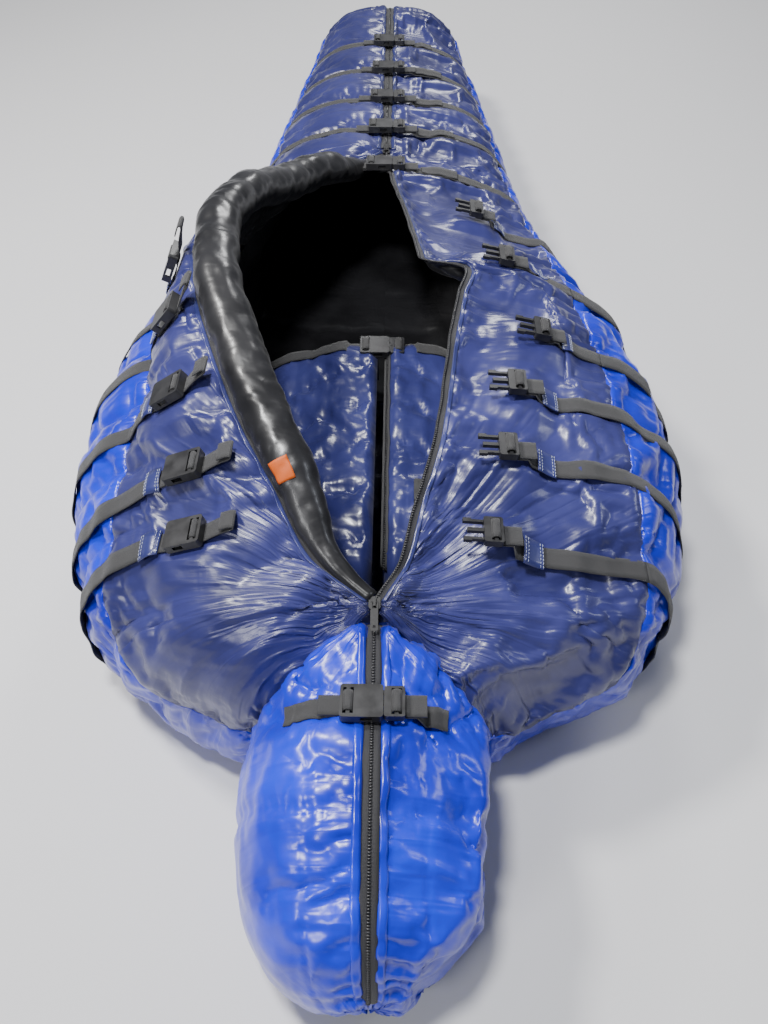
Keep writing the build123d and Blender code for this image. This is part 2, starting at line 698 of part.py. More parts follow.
def inner_strap(y, side):
    """Webbing over one half of the inner bag."""
    def curve(yy):
        return resample(inner_curve(side)(yy), INNER_STRAP_SKIP, 8, 5)
    return strap(y, side, curve, INNER_STRAP_LIFT)


def make_inner_straps(parts):
    """Straps of the inner bag: one closed over its opening, one open on its right half."""
    webbing, sockets = [], []
    for y in INNER_ROWS:
        webbing.append(inner_strap(y, 1))
    webbing.append(inner_strap(INNER_ROWS[0], -1))
    top = inner_curve(1)(INNER_ROWS[0])[-1][1]
    seat = Vector(0, INNER_ROWS[0], top + BUCKLE_LIFT)
    sockets.append(on_surface(buckle_socket(), seat, (1, 0, 0), (0, 0, 1)))
    parts["inner_plug"] = [on_surface(buckle_plug(), seat, (1, 0, 0), (0, 0, 1))]
    curve = inner_curve(1)(INNER_ROWS[1])
    point, along, up = surface_frame(INNER_ROWS[1], 1, curve, INNER_BUCKLE_SHARE, BUCKLE_LIFT)
    sockets.append(on_surface(buckle_socket(), point, along, up))
    parts["inner_sockets"] = sockets
    return webbing


# ---------------------------------------------------------------- zips
def ridge_path(stations, ys):
    """Points (y, z) along the bag's ridge with the direction away from the bag."""
    return [(y, between(stations, y, 2), 0.0, 1.0) for y in ys]


def crown_path():
    """Points (y, z) over the crown, with the direction away from the hood's middle."""
    path = []
    for y, _, top, _ in CROWN_STATIONS:
        out = Vector(0, y - HOOD_STATIONS[-1][0], top - CROWN_MIDDLE).normalized()
        path.append((y + CROWN_LIFT * out.Y, top + CROWN_LIFT * out.Z, out.Y, out.Z))
    return path


def ridge_strip(path, low, high, x0, x1):
    """Strip that follows a path in the plane of symmetry, between two heights above it."""
    upper = [(x0, y + oy * high, z + oz * high) for y, z, oy, oz in path]
    lower = [(x0, y + oy * low, z + oz * low) for y, z, oy, oz in reversed(path)]
    outline = Face(Wire.make_polygon(upper + lower, close=True))
    return extrude(outline, amount=x1 - x0, dir=(1, 0, 0))


def make_zips(parts):
    """Closed stretches of the two zips: over the legs, and over the shoulders, hood and crown."""
    legs = ridge_path(BODY_STATIONS, LEG_ZIP_YS)
    head = ridge_path(BODY_STATIONS, [NECK_Y + ZIP_PAST_SLIDER, NECK_ZIP_END])
    head += ridge_path(HOOD_STATIONS, HOOD_ZIP_YS) + crown_path()
    tapes, coils = [], []
    inside, outside = COIL_GAP / 2, COIL_GAP / 2 + COIL_WIDTH
    for path in (legs, head):
        for side in (-1, 1):
            tape_x = sorted((side * (outside + 0.2), side * (outside + TAPE_WIDTH - COIL_WIDTH)))
            coil_x = sorted((side * inside, side * outside))
            tapes.append(ridge_strip(path, 0, TAPE, *tape_x))
            coils.append(ridge_strip(path, COIL_LOW, COIL_HIGH, *coil_x))
    parts["zip_tapes"] = tapes
    parts["zip_coils"] = coils


def slider_body():
    """Two plates round the coils, the post between the coils, and the arch for the pull tab."""
    top, length, half = COIL_HIGH + SLIDER_PLAY, SLIDER_LENGTH / 2, SLIDER_WIDTH / 2
    low = COIL_LOW - SLIDER_PLAY
    body = block(-half, half, -length, length, top, top + SLIDER_PLATE)
    body = soften(body, 3)
    body = body + block(-half + 1, half - 1, -length, length, low - SLIDER_PLATE, low)
    body = body + block(-COIL_GAP / 2 + 0.5, COIL_GAP / 2 - 0.5, -length + 2, 0, low - 0.5, top + 0.5)
    arch = block(-1.5, 1.5, -5, 5, top + SLIDER_PLATE - 0.2, top + SLIDER_PLATE + 5)
    hole = block(-2, 2, -3, 3, top + SLIDER_PLATE + 0.4, top + SLIDER_PLATE + 3.6)
    return body + (arch - hole)


PIN_HEIGHT = COIL_HIGH + SLIDER_PLAY + SLIDER_PLATE + 2.0


def pull_tab():
    """Flat tab on a pin: two arms beside the arch, then a plate with a cord hole."""
    pin = Pos(0, 0, PIN_HEIGHT) * Rot(0, 90, 0) * Cylinder(PIN_R, PULL_WIDTH)
    low, high = PIN_HEIGHT - 0.8, PIN_HEIGHT + 0.8
    tab = pin
    for side in (-1, 1):
        x = sorted((side * 2.5, side * PULL_WIDTH / 2))
        tab = tab + block(*x, 0, 9, low, high)
    plate = soften(block(-PULL_WIDTH / 2, PULL_WIDTH / 2, 8, PULL_LENGTH, low, high), 2.5)
    hole = Pos(0, PULL_LENGTH - 5, PIN_HEIGHT) * Cylinder(1.8, 4)
    return tab + (plate - hole)


def make_sliders(parts):
    """The slider at each end of the opening, pointing at the closed stretch that it opens."""
    for name, y, ahead in (("leg", SLIDER_Y, 1), ("hood", NECK_Y, -1)):
        far_y = LEG_ZIP_YS[-2] if ahead > 0 else NECK_ZIP_END
        near_y = SLIDER_Y - ZIP_PAST_SLIDER if ahead > 0 else NECK_Y + ZIP_PAST_SLIDER
        rise = between(BODY_STATIONS, far_y, 2) - between(BODY_STATIONS, near_y, 2)
        run = Vector(0, far_y - near_y, rise).normalized()
        seat = Vector(0, y, between(BODY_STATIONS, near_y, 2) + rise * (y - near_y) / (far_y - near_y))
        up = Vector(0, -run.Z * ahead, run.Y * ahead)
        across = run.cross(up)
        parts[name + "_slider"] = [on_surface(slider_body(), seat, across, up)]
        parts[name + "_slider_pull"] = [on_surface(pull_tab(), seat, across, up)]
        pivot = seat + up * PIN_HEIGHT
        print(name, "slider runs along", [round(v, 5) for v in run], "pull turns about",
              [round(v, 4) for v in across], "at", [round(v / 1000, 5) for v in pivot])


def make_hang_loop(parts):
    """Folded cloth loop sewn into the end of the foot."""
    foot_end = FOOT_STATIONS[-1]
    start, middle = foot_end[0] + 0.3, LOOP_END_Y - LOOP_R
    height = (foot_end[2] + foot_end[3]) / 2
    ring = Rot(0, 90, 0) * (Cylinder(LOOP_R, LOOP_WIDTH) - Cylinder(LOOP_R - 1.4, LOOP_WIDTH + 2))
    ring = Pos(0, middle, height) * ring
    ring = ring & block(-20, 20, middle, LOOP_END_Y + 5, height - 20, height + 20)
    for z in (height - LOOP_R, height + LOOP_R - 1.4):
        ring = ring + block(-LOOP_WIDTH / 2, LOOP_WIDTH / 2, start, middle + 0.01, z, z + 1.4)
    parts["hang_loop"] = [ring]


# ---------------------------------------------------------------- write the parts
def main():
    parts = {}
    linings = make_back(parts) + make_sides(parts) + make_tops(parts) + make_hood(parts)
    parts["lining"] = linings
    make_foot(parts)
    make_flaps(parts)
    make_inner_bag(parts)
    webbing = make_closed_straps(parts) + make_torso_straps(parts) + make_inner_straps(parts)
    parts["strap_webbing"] = webbing
    make_torso_buckles(parts)
    make_zips(parts)
    make_sliders(parts)
    make_hang_loop(parts)
    os.makedirs("parts", exist_ok=True)
    for name, solids in parts.items():
        shapes = [s for item in solids for s in item.solids()]
        export_step(Compound(children=shapes) if len(shapes) > 1 else shapes[0], f"parts/{name}.step")


main()
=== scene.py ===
"""Down mummy sleeping bag on its back, opened over the chest. Metres, Z up, foot at +Y."""
import json
import math

import bmesh
import bpy
import numpy as np
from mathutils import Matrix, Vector
from mathutils.kdtree import KDTree

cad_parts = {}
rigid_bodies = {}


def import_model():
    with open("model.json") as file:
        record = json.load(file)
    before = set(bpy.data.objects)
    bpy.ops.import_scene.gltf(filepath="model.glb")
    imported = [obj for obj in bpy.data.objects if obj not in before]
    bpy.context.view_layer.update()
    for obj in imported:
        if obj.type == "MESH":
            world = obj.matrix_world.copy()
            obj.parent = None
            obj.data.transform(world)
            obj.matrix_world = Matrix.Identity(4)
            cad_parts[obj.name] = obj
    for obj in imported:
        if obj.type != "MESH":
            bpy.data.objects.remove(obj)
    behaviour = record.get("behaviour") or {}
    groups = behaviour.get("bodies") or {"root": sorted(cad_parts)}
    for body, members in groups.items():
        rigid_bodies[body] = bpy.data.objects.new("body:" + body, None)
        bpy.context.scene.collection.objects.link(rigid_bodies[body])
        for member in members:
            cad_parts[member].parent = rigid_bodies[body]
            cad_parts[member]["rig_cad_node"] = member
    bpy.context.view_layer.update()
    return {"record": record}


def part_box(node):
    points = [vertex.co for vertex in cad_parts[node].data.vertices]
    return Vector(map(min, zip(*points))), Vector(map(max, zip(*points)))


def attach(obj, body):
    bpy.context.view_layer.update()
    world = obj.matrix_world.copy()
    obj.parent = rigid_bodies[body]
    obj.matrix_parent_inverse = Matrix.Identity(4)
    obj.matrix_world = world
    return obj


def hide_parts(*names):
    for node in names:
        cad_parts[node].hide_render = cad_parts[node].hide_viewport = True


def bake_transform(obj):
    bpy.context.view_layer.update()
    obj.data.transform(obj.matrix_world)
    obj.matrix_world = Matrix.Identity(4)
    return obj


MM = 0.001
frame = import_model()

# ---------------------------------------------------------------- driving dimensions
# Cross sections, from foot to shoulders: y, half width, top, base (mm)
PROFILE = MM * np.array([
    (1146, 2, 133, 127), (1132, 70, 186, 74), (1116, 134, 236, 36), (1088, 166, 264, 12),
    (1044, 180, 274, 0), (880, 204, 270, 0), (690, 228, 279, 0), (480, 252, 293, 0),
    (290, 272, 306, 0), (120, 304, 326, 0), (-40, 352, 350, 0), (-190, 402, 376, 0),
    (-340, 428, 394, 0), (-490, 432, 398, 0), (-625, 408, 380, 0), (-740, 354, 328, 0),
    (-790, 272, 304, 0), (-826, 186, 286, 0), (-844, 136, 250, 12),
])
# Cross sections of the hood, from the neck to the crown
HOOD_PROFILE = MM * np.array([
    (-740, 140, 318, 0), (-800, 143, 298, 0), (-852, 143, 286, 0), (-910, 144, 287, 0),
    (-970, 144, 281, 0), (-1020, 140, 268, 0), (-1060, 130, 246, 3), (-1096, 111, 222, 14),
    (-1122, 80, 188, 40), (-1137, 40, 146, 80), (-1142, 2, 116, 110),
])
# Free edges of the flaps, from the leg slider to the neck: y, x, z (mm)
LEFT_EDGE = MM * np.array([
    (290, -6, 306), (242, -62, 322), (168, -130, 342), (90, -174, 364), (0, -206, 390),
    (-60, -226, 412), (-190, -258, 450), (-340, -250, 466), (-460, -214, 454),
    (-570, -168, 426), (-645, -122, 388), (-716, -74, 340), (-752, -18, 322), (-760, -6, 317),
])
RIGHT_EDGE = MM * np.array([
    (290, 6, 306), (120, 20, 338), (0, 38, 362), (-100, 50, 384), (-190, 62, 402),
    (-206, 68, 405), (-226, 126, 412), (-300, 116, 416), (-400, 100, 410), (-565, 78, 390),
    (-645, 54, 362), (-716, 34, 332), (-752, 12, 321), (-760, 6, 317),
])
WAIST = 0.42                # height of the widest point over the height of a section
SIDE_POWER = 0.70           # squareness of a section towards its sides
TOP_POWER = 0.90            # towards its top
BASE_POWER = 0.50           # and towards its base
SEAM_SHARE = 0.86           # where side panels meet the leg panels, over the half width
LOW_ANGLE = -72.0           # where the side panels meet the back panel
FLAP_FOOT_Y, FLAP_NECK_Y = 0.120, -0.716    # ends of a flap's fold
FLAP_FOOT_X, FLAP_NECK_X = 0.262, 0.338     # and how far they lie from the middle
SLIDER_Y, NECK_Y = 0.290, -0.760            # the zip is open between these two sliders
BAND_Y = -0.838             # navy panels end here and the blue shoulder band begins
HOOD_REACH = 0.078          # how far the hood's edge slants back from the neck to its sides
ZIP_HALF = 0.006            # from the middle to a panel's edge beside a closed zip
FLAP_BULGE = 0.016          # crown of a flap between its fold and its free edge
FLAP_LOFT = 0.036           # thickness of the down in a flap
MAX_PUFF = 0.020            # the simulation moves no point further than this
STEP = 0.0115               # spacing of the simulated mesh
SIDES = ((-1, "left"), (1, "right"))
SIDE_COLUMNS, TOP_COLUMNS, HOOD_COLUMNS = 34, 28, 44
DRAFT_R = 0.032             # radius of the draft tube
WEBBING_WIDTH = 0.026
WEBBING = 0.0016            # thickness of the webbing
TAPE = 0.0008               # of a zip's tape
FACING = 0.001              # of the cloth beside it
SHELL_CLOTH = 0.0012        # and of the shell
LEG_ROWS = MM * np.array([857, 697, 537, 387, 215])     # y of each closed leg strap
HOOD_ROW = -0.878
HOOD_STRAP = {-1: 0.098, 1: 0.084}      # from the middle to the sewn end of the hood's strap
BAR_X = 0.0267              # from the middle of a closed buckle to its webbing's bar
UP = np.array([0, 0, 1.0])
JOINTS = {j["name"]: j for j in frame["record"]["behaviour"]["joints"]}
LOOSE = {-1: [f"torso_socket_{k}" for k in range(1, 6)], 1: [f"torso_plug_{k}" for k in range(1, 7)]}
# Cross seams of the side panels, between the down chambers
BAFFLE_ROWS = MM * np.array([1046, 777, 617, 462, 300, 120, -80, -230, -330, -455, -573, -658, -745])
MAX_SEAT = 0.018            # the shell rises at most this much to meet a buckle part
BAFFLE_COLUMNS = 8          # how far the cross seams run into the top panels
INNER_FOOT_Y, INNER_NECK_Y = -0.150, -0.668     # ends of the inner bag
INNER_BUCKLE_Y, INNER_STRAP_Y = -0.205, -0.517  # its two straps
INNER_SHARE = 0.62          # half width of the inner bag over that of the section
LINING_FOOT_Y, LINING_HOOD_Y = 1.085, -0.856    # ends of the black lining
LINING_COLUMNS = 44
FLOOR_TOP = 0.051           # upper face of the padded floor


# ---------------------------------------------------------------- number helpers
def between(table, y, column):
    """Value of a table's column at y, on a smooth curve through all of its rows."""
    rows = table[np.argsort(table[:, 0])]
    y = np.clip(np.asarray(y, float), rows[0, 0], rows[-1, 0])
    i = np.clip(np.searchsorted(rows[:, 0], y, side="right") - 1, 0, len(rows) - 2)
    a, b = rows[np.maximum(i - 1, 0)], rows[i]
    c, d = rows[i + 1], rows[np.minimum(i + 2, len(rows) - 1)]
    span = c[..., 0] - b[..., 0]
    t = (y - b[..., 0]) / span
    slope_b = (c[..., column] - a[..., column]) / (c[..., 0] - a[..., 0]) * span
    slope_c = (d[..., column] - b[..., column]) / (d[..., 0] - b[..., 0]) * span
    return (
        b[..., column] * (2 * t**3 - 3 * t**2 + 1) + slope_b * (t**3 - 2 * t**2 + t)
        + c[..., column] * (3 * t**2 - 2 * t**3) + slope_c * (t**3 - t**2)
    )


def smooth(t):
    t = np.clip(t, 0.0, 1.0)
    return t * t * (3 - 2 * t)


def lattice(i, j, seed):
    """Repeatable scatter from 0 to 1, one value for each corner of a lattice."""
    n = np.sin(i * 127.1 + j * 311.7 + seed * 74.7) * 43758.5453
    return n - np.floor(n)


def noise(u, v, seed=0):
    """Smooth gradient noise, mostly from -1 to 1, over a plane."""
    u, v = np.broadcast_arrays(np.asarray(u, float), np.asarray(v, float))
    i, j = np.floor(u), np.floor(v)
    x, y = u - i, v - j
    total = np.zeros_like(x)
    for a in (0, 1):
        for b in (0, 1):
            turn = 2 * math.pi * lattice(i + a, j + b, seed)
            slope = np.cos(turn) * (x - a) + np.sin(turn) * (y - b)
            total += slope * smooth(1 - np.abs(x - a)) * smooth(1 - np.abs(y - b))
    return 1.6 * total


def creases(u, v, seed=0):
    """Sharp ridges with soft valleys, from 0 to 1."""
    return (1 - np.clip(np.abs(noise(u, v, seed)) * 1.2, 0, 1)) ** 2.5


def even(points, count):
    """The same number of evenly spaced points along a polyline."""
    places = distance_along(points)
    want = np.linspace(0, places[-1], count)
    return np.stack([np.interp(want, places, points[:, k]) for k in range(points.shape[1])], 1)


def even_rows(table, start, end, step):
    """Places along the bag from start to end, evenly spaced over its outline."""
    y = np.linspace(start, end, 400)
    line = np.stack([y, between(table, y, 1), between(table, y, 2)], 1)
    length = np.linalg.norm(np.diff(line, axis=0), axis=1).sum()
    return even(line, max(int(round(length / step)), 2) + 1)[:, 0]


def between_rows(a):
    """One more row between each two, on a smooth surface through all rows."""
    first, last = 2 * a[:1] - a[1:2], 2 * a[-1:] - a[-2:-1]
    p = np.concatenate([first, a, last])
    middle = (9 * (p[1:-2] + p[2:-1]) - p[:-3] - p[3:]) / 16
    result = np.empty((2 * len(a) - 1,) + a.shape[1:])
    result[::2], result[1::2] = a, middle
    return result


def finer(grid):
    """A grid with twice as many rows and columns."""
    return between_rows(between_rows(grid).swapaxes(0, 1)).swapaxes(0, 1)


def grid_normals(grid, outward):
    """Unit normals of a grid; outward says which way is out, as a field of vectors."""
    n = np.cross(np.gradient(grid, axis=0), np.gradient(grid, axis=1))
    n /= np.linalg.norm(n, axis=-1, keepdims=True) + 1e-12
    return n * np.where((n * outward).sum(-1).mean() < 0, -1.0, 1.0)


def unit(vectors):
    return vectors / np.linalg.norm(vectors, axis=-1, keepdims=True)


def distance_along(path):
    """Distance of each point of a path from its start."""
    return np.concatenate([[0], np.cumsum(np.linalg.norm(np.diff(path, axis=0), axis=1))])


def away_from_axis(grid):
    """Rough outward direction at each point: away from a line along the middle of the bag."""
    out = grid - np.array([0, 0, 0.14])
    out[..., 1] = 0
    return out


# ---------------------------------------------------------------- shape of the bag
def section(width, top, base, angles):
    """Points (x, z) of a right-hand section at angles from -90, below, to 90, on top."""
    a = np.radians(angles)
    waist = base + WAIST * (top - base)
    s = np.abs(np.sin(a))
    z = np.where(
        a >= 0, waist + (top - waist) * s**TOP_POWER, waist - (waist - base) * s**BASE_POWER
    )
    return np.stack([width * np.abs(np.cos(a)) ** SIDE_POWER, z], 1)


def share_angle(share):
    return math.degrees(math.acos(min(max(share, 0.0), 1.0) ** (1 / SIDE_POWER)))


def fold_x(y):
    """Where a flap folds on its side panel."""
    share = (y - FLAP_FOOT_Y) / (FLAP_NECK_Y - FLAP_FOOT_Y)
    return FLAP_FOOT_X + (FLAP_NECK_X - FLAP_FOOT_X) * share


def seam_angle(y, width):
    """Angle of the seam between side panel and top panel."""
    if FLAP_NECK_Y <= y <= FLAP_FOOT_Y:
        return share_angle(fold_x(y) / width)
    if y < FLAP_NECK_Y:
        seam = fold_x(FLAP_NECK_Y) / between(PROFILE, FLAP_NECK_Y, 1)
        return share_angle(seam + (0.995 - seam) * smooth((FLAP_NECK_Y - y) / 0.07))
    return share_angle(SEAM_SHARE)


def hood_edge_x(y):
    """Where the hood's edge lies on the shoulders at y."""
    return 0.140 * np.clip((NECK_Y - y) / HOOD_REACH, 0, 1) ** 0.72


def openness(y):
    """From 0, where a top panel lies closed, to 1, where it is an open flap."""
    return float(smooth((SLIDER_Y - y) / 0.12) * smooth((y - NECK_Y) / 0.05))


def laid_open(high, start, end, share):
    """A top panel's line, moved by a share towards that of an open flap from start to end."""
    t = np.linspace(0, 1, len(high))[:, None]
    run = end - start
    out = np.array([-run[1], run[0]]) / np.linalg.norm(run)
    out = out if out[1] > 0 else -out
    flap = start + run * t + out * FLAP_BULGE * np.sin(math.pi * t)
    return high * (1 - share) + flap * share


def bag_row(y, side):
    """One row of the outer shell at y: the side panel's points, then the top panel's."""
    width, top, base = (float(between(PROFILE, y, k)) for k in (1, 2, 3))
    seam = seam_angle(y, width)
    low = even(section(width, top, base, np.linspace(LOW_ANGLE, seam, 60)), SIDE_COLUMNS + 1)
    table = LEFT_EDGE if side < 0 else RIGHT_EDGE
    open_x = abs(float(between(table, y, 1)))
    reach = open_x if NECK_Y <= y <= SLIDER_Y else max(ZIP_HALF, hood_edge_x(y) - 0.030)
    high = section(width, top, base, np.linspace(seam, share_angle(min(reach / width, 0.78)), 60))
    high = even(high, TOP_COLUMNS + 1)
    if openness(y) > 0:
        end = np.array([open_x, float(between(table, y, 2))])
        high = laid_open(high, low[-1], end, openness(y))
    sink = 0.026 * float(smooth((NECK_Y - y) / 0.05))
    roll = smooth(1 - (high[:, 0] - hood_edge_x(y)) / 0.050)
    high[:, 1] -= sink * roll * smooth(np.linspace(0, 4, len(high)))
    line = np.concatenate([low, high[1:]])
    return np.stack([side * line[:, 0], np.full(len(line), y), line[:, 1]], 1)


SPANS = [(PROFILE[0, 0], SLIDER_Y), (SLIDER_Y, NECK_Y), (NECK_Y, BAND_Y), (BAND_Y, PROFILE[-1, 0])]
ROWS = [even_rows(PROFILE, a, b, STEP) for a, b in SPANS]
ROW_YS = np.concatenate([ROWS[0]] + [r[1:] for r in ROWS[1:]])
CUTS = np.cumsum([0] + [len(r) - 1 for r in ROWS])      # first row of each span


def bag_grid(side):
    return np.stack([bag_row(y, side) for y in ROW_YS])


def hood_grid(side):
    """The hood's outer shell: rows from its slanting neck edge to the crown."""
    top_angle = share_angle(ZIP_HALF / HOOD_PROFILE[4, 1])
    probe = section(1.0, 1.0, 0.0, np.linspace(LOW_ANGLE, top_angle, 80)) * (0.15, 0.28)
    angles = even(np.concatenate([probe, np.linspace(LOW_ANGLE, top_angle, 80)[:, None]], 1),
                  HOOD_COLUMNS + 1)[:, 2]
    places = even_rows(HOOD_PROFILE, -0.800, HOOD_PROFILE[-1, 0], STEP * 0.8)
    share = (places - places[0]) / (places[-1] - places[0])
    columns = []
    for angle in angles:
        reach = abs(math.cos(math.radians(angle))) ** SIDE_POWER if angle > 0 else 1.0
        start = NECK_Y - HOOD_REACH * reach**1.35
        y = start + (HOOD_PROFILE[-1, 0] - start) * share
        width, top, base = (between(HOOD_PROFILE, y, k) for k in (1, 2, 3))
        tuck = 1 - 0.11 * np.exp(-((y - start) / 0.016) ** 2)
        x, z = section(1.0, 1.0, 0.0, np.array([angle]))[0]
        columns.append(np.stack([side * x * width * tuck, y, base + (top * tuck - base) * z], 1))
    return np.stack(columns, 1)


# ---------------------------------------------------------------- simulation
def pin_weights_bag():
    """1 where the shell is sewn down, and less where it may puff."""
    weights = np.zeros((len(ROW_YS), SIDE_COLUMNS + TOP_COLUMNS + 1))
    weights[:, [0, SIDE_COLUMNS, -1]] = 1
    weights[[0, -1]] = 1
    for y in np.concatenate([LEG_ROWS, [1.045]]):
        weights[np.abs(ROW_YS - y).argmin()] = 1
    weights[CUTS[3]] = 1
    for y in BAFFLE_ROWS:
        weights[np.abs(ROW_YS - y).argmin(), : SIDE_COLUMNS + BAFFLE_COLUMNS] = 1
    return weights


def dent(grid, normals, y, depth, spread):
    """Press a band of the shell inwards, as a strap round it does."""
    return grid - normals * (depth * np.exp(-(((grid[..., 1] - y) / spread) ** 2)))[..., None]


def faces_of(rows, columns, start=0):
    i = np.arange(rows * columns).reshape(rows, columns) + start
    quads = np.stack([i[:-1, :-1], i[1:, :-1], i[1:, 1:], i[:-1, 1:]], -1)
    return quads.reshape(-1, 4)


def sheet_faces(rows, columns):
    """Faces of a closed sheet: its upper side, its underside and the rim that joins them."""
    under = rows * columns
    faces = [tuple(f) for f in faces_of(rows, columns)]
    faces += [tuple(f[::-1]) for f in faces_of(rows, columns, under)]
    i = np.arange(under).reshape(rows, columns)
    rim = np.concatenate([i[:-1, 0], i[-1, :-1], i[:0:-1, -1], i[0, :0:-1]])
    return faces + [(b, a, a + under, b + under) for a, b in zip(rim, np.roll(rim, -1))]


def mesh_object(name, points, faces):
    mesh = bpy.data.meshes.new(name)
    mesh.from_pydata([tuple(p) for p in points], [], [tuple(int(k) for k in f) for f in faces])
    mesh.validate()
    mesh.polygons.foreach_set("use_smooth", [True] * len(mesh.polygons))
    obj = bpy.data.objects.new(name, mesh)
    bpy.context.collection.objects.link(obj)
    return obj


def simulate(grids, weights):
    """Blow the shell up as pressed down does, with cloth to spare that wrinkles between seams."""
    starts = np.cumsum([0] + [g.shape[0] * g.shape[1] for g in grids])
    points = np.concatenate([g.reshape(-1, 3) for g in grids])
    faces = np.concatenate([faces_of(*g.shape[:2], start=s) for g, s in zip(grids, starts)])
    obj = mesh_object("puff", points, faces)
    group = obj.vertex_groups.new(name="sewn")
    for i, w in enumerate(np.concatenate([w.ravel() for w in weights])):
        if w > 0:
            group.add([i], float(w), "REPLACE")
    cloth = obj.modifiers.new("cloth", "CLOTH")
    s = cloth.settings
    s.quality = 5
    s.mass = 0.15
    s.tension_stiffness = s.compression_stiffness = 12
    s.shear_stiffness = 4
    s.bending_stiffness = 0.06
    s.use_pressure = True
    s.uniform_pressure_force = 2.5
    s.shrink_min = -0.07
    s.vertex_group_mass = "sewn"
    s.effector_weights.gravity = 0
    cloth.collision_settings.use_collision = False
    scene = bpy.context.scene
    for f in range(1, 19):
        scene.frame_set(f)
    done = obj.evaluated_get(bpy.context.evaluated_depsgraph_get())
    result = np.empty(len(points) * 3)
    done.data.vertices.foreach_get("co", result)
    scene.frame_set(1)
    bpy.data.objects.remove(obj)
    result = result.reshape(-1, 3)
    move = result - points
    far = np.linalg.norm(move, axis=1, keepdims=True)
    result = points + move * (MAX_PUFF * np.tanh(far / MAX_PUFF) / (far + 1e-9))
    return [result[a:b].reshape(g.shape) for g, a, b in zip(grids, starts, starts[1:])]


def puffed_shell():
    """Outer shell of both halves of the bag and of the hood, after the simulation."""
    bags = [bag_grid(-1), bag_grid(1)]
    hoods = [hood_grid(-1), hood_grid(1)]
    for k, grid in enumerate(bags):
        for y in LEG_ROWS:
            grid = dent(grid, grid_normals(grid, away_from_axis(grid)), y, 0.009, 0.020)
        reach = np.clip((SIDE_COLUMNS + BAFFLE_COLUMNS - np.arange(grid.shape[1])) / 10, 0, 1)
        for y in BAFFLE_ROWS:
            inwards = grid_normals(grid, away_from_axis(grid)) * reach[None, :, None]
            grid = dent(grid, inwards, y, 0.009, 0.013)
        bags[k] = grid
    for k, grid in enumerate(hoods):
        hoods[k] = dent(grid, grid_normals(grid, away_from_axis(grid)), HOOD_ROW, 0.010, 0.022)
    hood_pins = np.zeros(hoods[0].shape[:2])
    hood_pins[[0, -1]] = 1
    hood_pins[:, [0, -1]] = 1
    pins = [pin_weights_bag(), pin_weights_bag(), hood_pins, hood_pins]
    done = simulate(bags + hoods, pins)
    return done[:2], done[2:]


# ---------------------------------------------------------------- wrinkles
def arc_columns(grid):
    """Distance of each grid point from its row's first column, along the row."""
    steps = np.linalg.norm(np.diff(grid, axis=1), axis=2)
    return np.concatenate([np.zeros((len(grid), 1)), np.cumsum(steps, 1)], 1)


def seam_puckers(along, away, length, reach, seed):
    """Short creases square to a seam, deepest at the seam."""
    warp = 0.6 * noise(along / 0.05, away / 0.06, seed + 5)
    fine = creases(along / length + warp, away / (reach * 2.2), seed)
    broad = creases(along / (length * 2.7) + warp, away / (reach * 4), seed + 1)
    return fine * np.exp(-away / reach) + 0.9 * broad * np.exp(-away / (reach * 2.4))


def rays(grid, x, y, count, reach, seed):
    """Creases that fan out from one point."""
    dx, dy = grid[..., 0] - x, grid[..., 1] - y
    r = np.hypot(dx, dy)
    turn = np.arctan2(dx, dy)
    lines = creases(turn * count + 0.5 * noise(turn * 3, r / 0.08, seed + 3), r / (reach * 1.5), seed)
    return lines * np.exp(-r / reach) * smooth(r / 0.03)


def fanned(grid, reach):
    """Coordinate that counts creases: along the bag, but round the neck within reach of it."""
    dy = grid[..., 1] - NECK_Y
    r = np.hypot(grid[..., 0], dy) + 0.004
    return -NECK_Y - dy * np.maximum(reach / r, 1)


def bag_wrinkles(grid, side):
    """How far each point of the bag's shell moves out: puckers at seams, folds and creases."""
    seed = 10 if side < 0 else 40
    across = arc_columns(grid)
    seam = across[:, 2 * SIDE_COLUMNS][:, None]
    along = -grid[..., 1]
    to_seam, to_edge = np.abs(across - seam), np.abs(across[:, -1:] - across)
    move = 0.0034 * seam_puckers(along, to_seam, 0.016, 0.030, seed)
    move += 0.0030 * seam_puckers(along, to_edge, 0.014, 0.038, seed + 7)
    move += 0.0020 * seam_puckers(along, across, 0.020, 0.030, seed + 9)
    for y in LEG_ROWS:
        move += 0.0016 * seam_puckers(across, np.abs(grid[..., 1] - y), 0.016, 0.022, seed + 11)
    move += 0.0075 * rays(grid, 0, NECK_Y + 0.01, 7.0, 0.24, seed + 13)
    move += 0.0045 * rays(grid, 0, NECK_Y + 0.01, 14.0, 0.20, seed + 14)
    for y in BAFFLE_ROWS:
        off = np.abs(grid[..., 1] - y) + 0.5 * np.maximum(across - seam - 0.06, 0)
        move += 0.0018 * seam_puckers(across, off, 0.016, 0.020, seed + 21)
    move += 0.0035 * rays(grid, 0, SLIDER_Y, 7.0, 0.10, seed + 15)
    warp = 0.4 * noise(across / 0.03, along / 0.05, seed)
    move += 0.0010 * noise(along / 0.055 + warp, across / 0.045, seed + 17)
    warp = noise(along / 0.06, across / 0.06, seed + 2)
    move += 0.0008 * creases(along / 0.030 + warp, across / 0.048, seed + 19)
    x, y = np.abs(grid[..., 0]), grid[..., 1]
    calm = 0.12 + 0.88 * smooth((x - hood_edge_x(y) + 2 * np.maximum(y - NECK_Y, 0)) / 0.055)
    return move * calm * smooth(to_edge / 0.012)


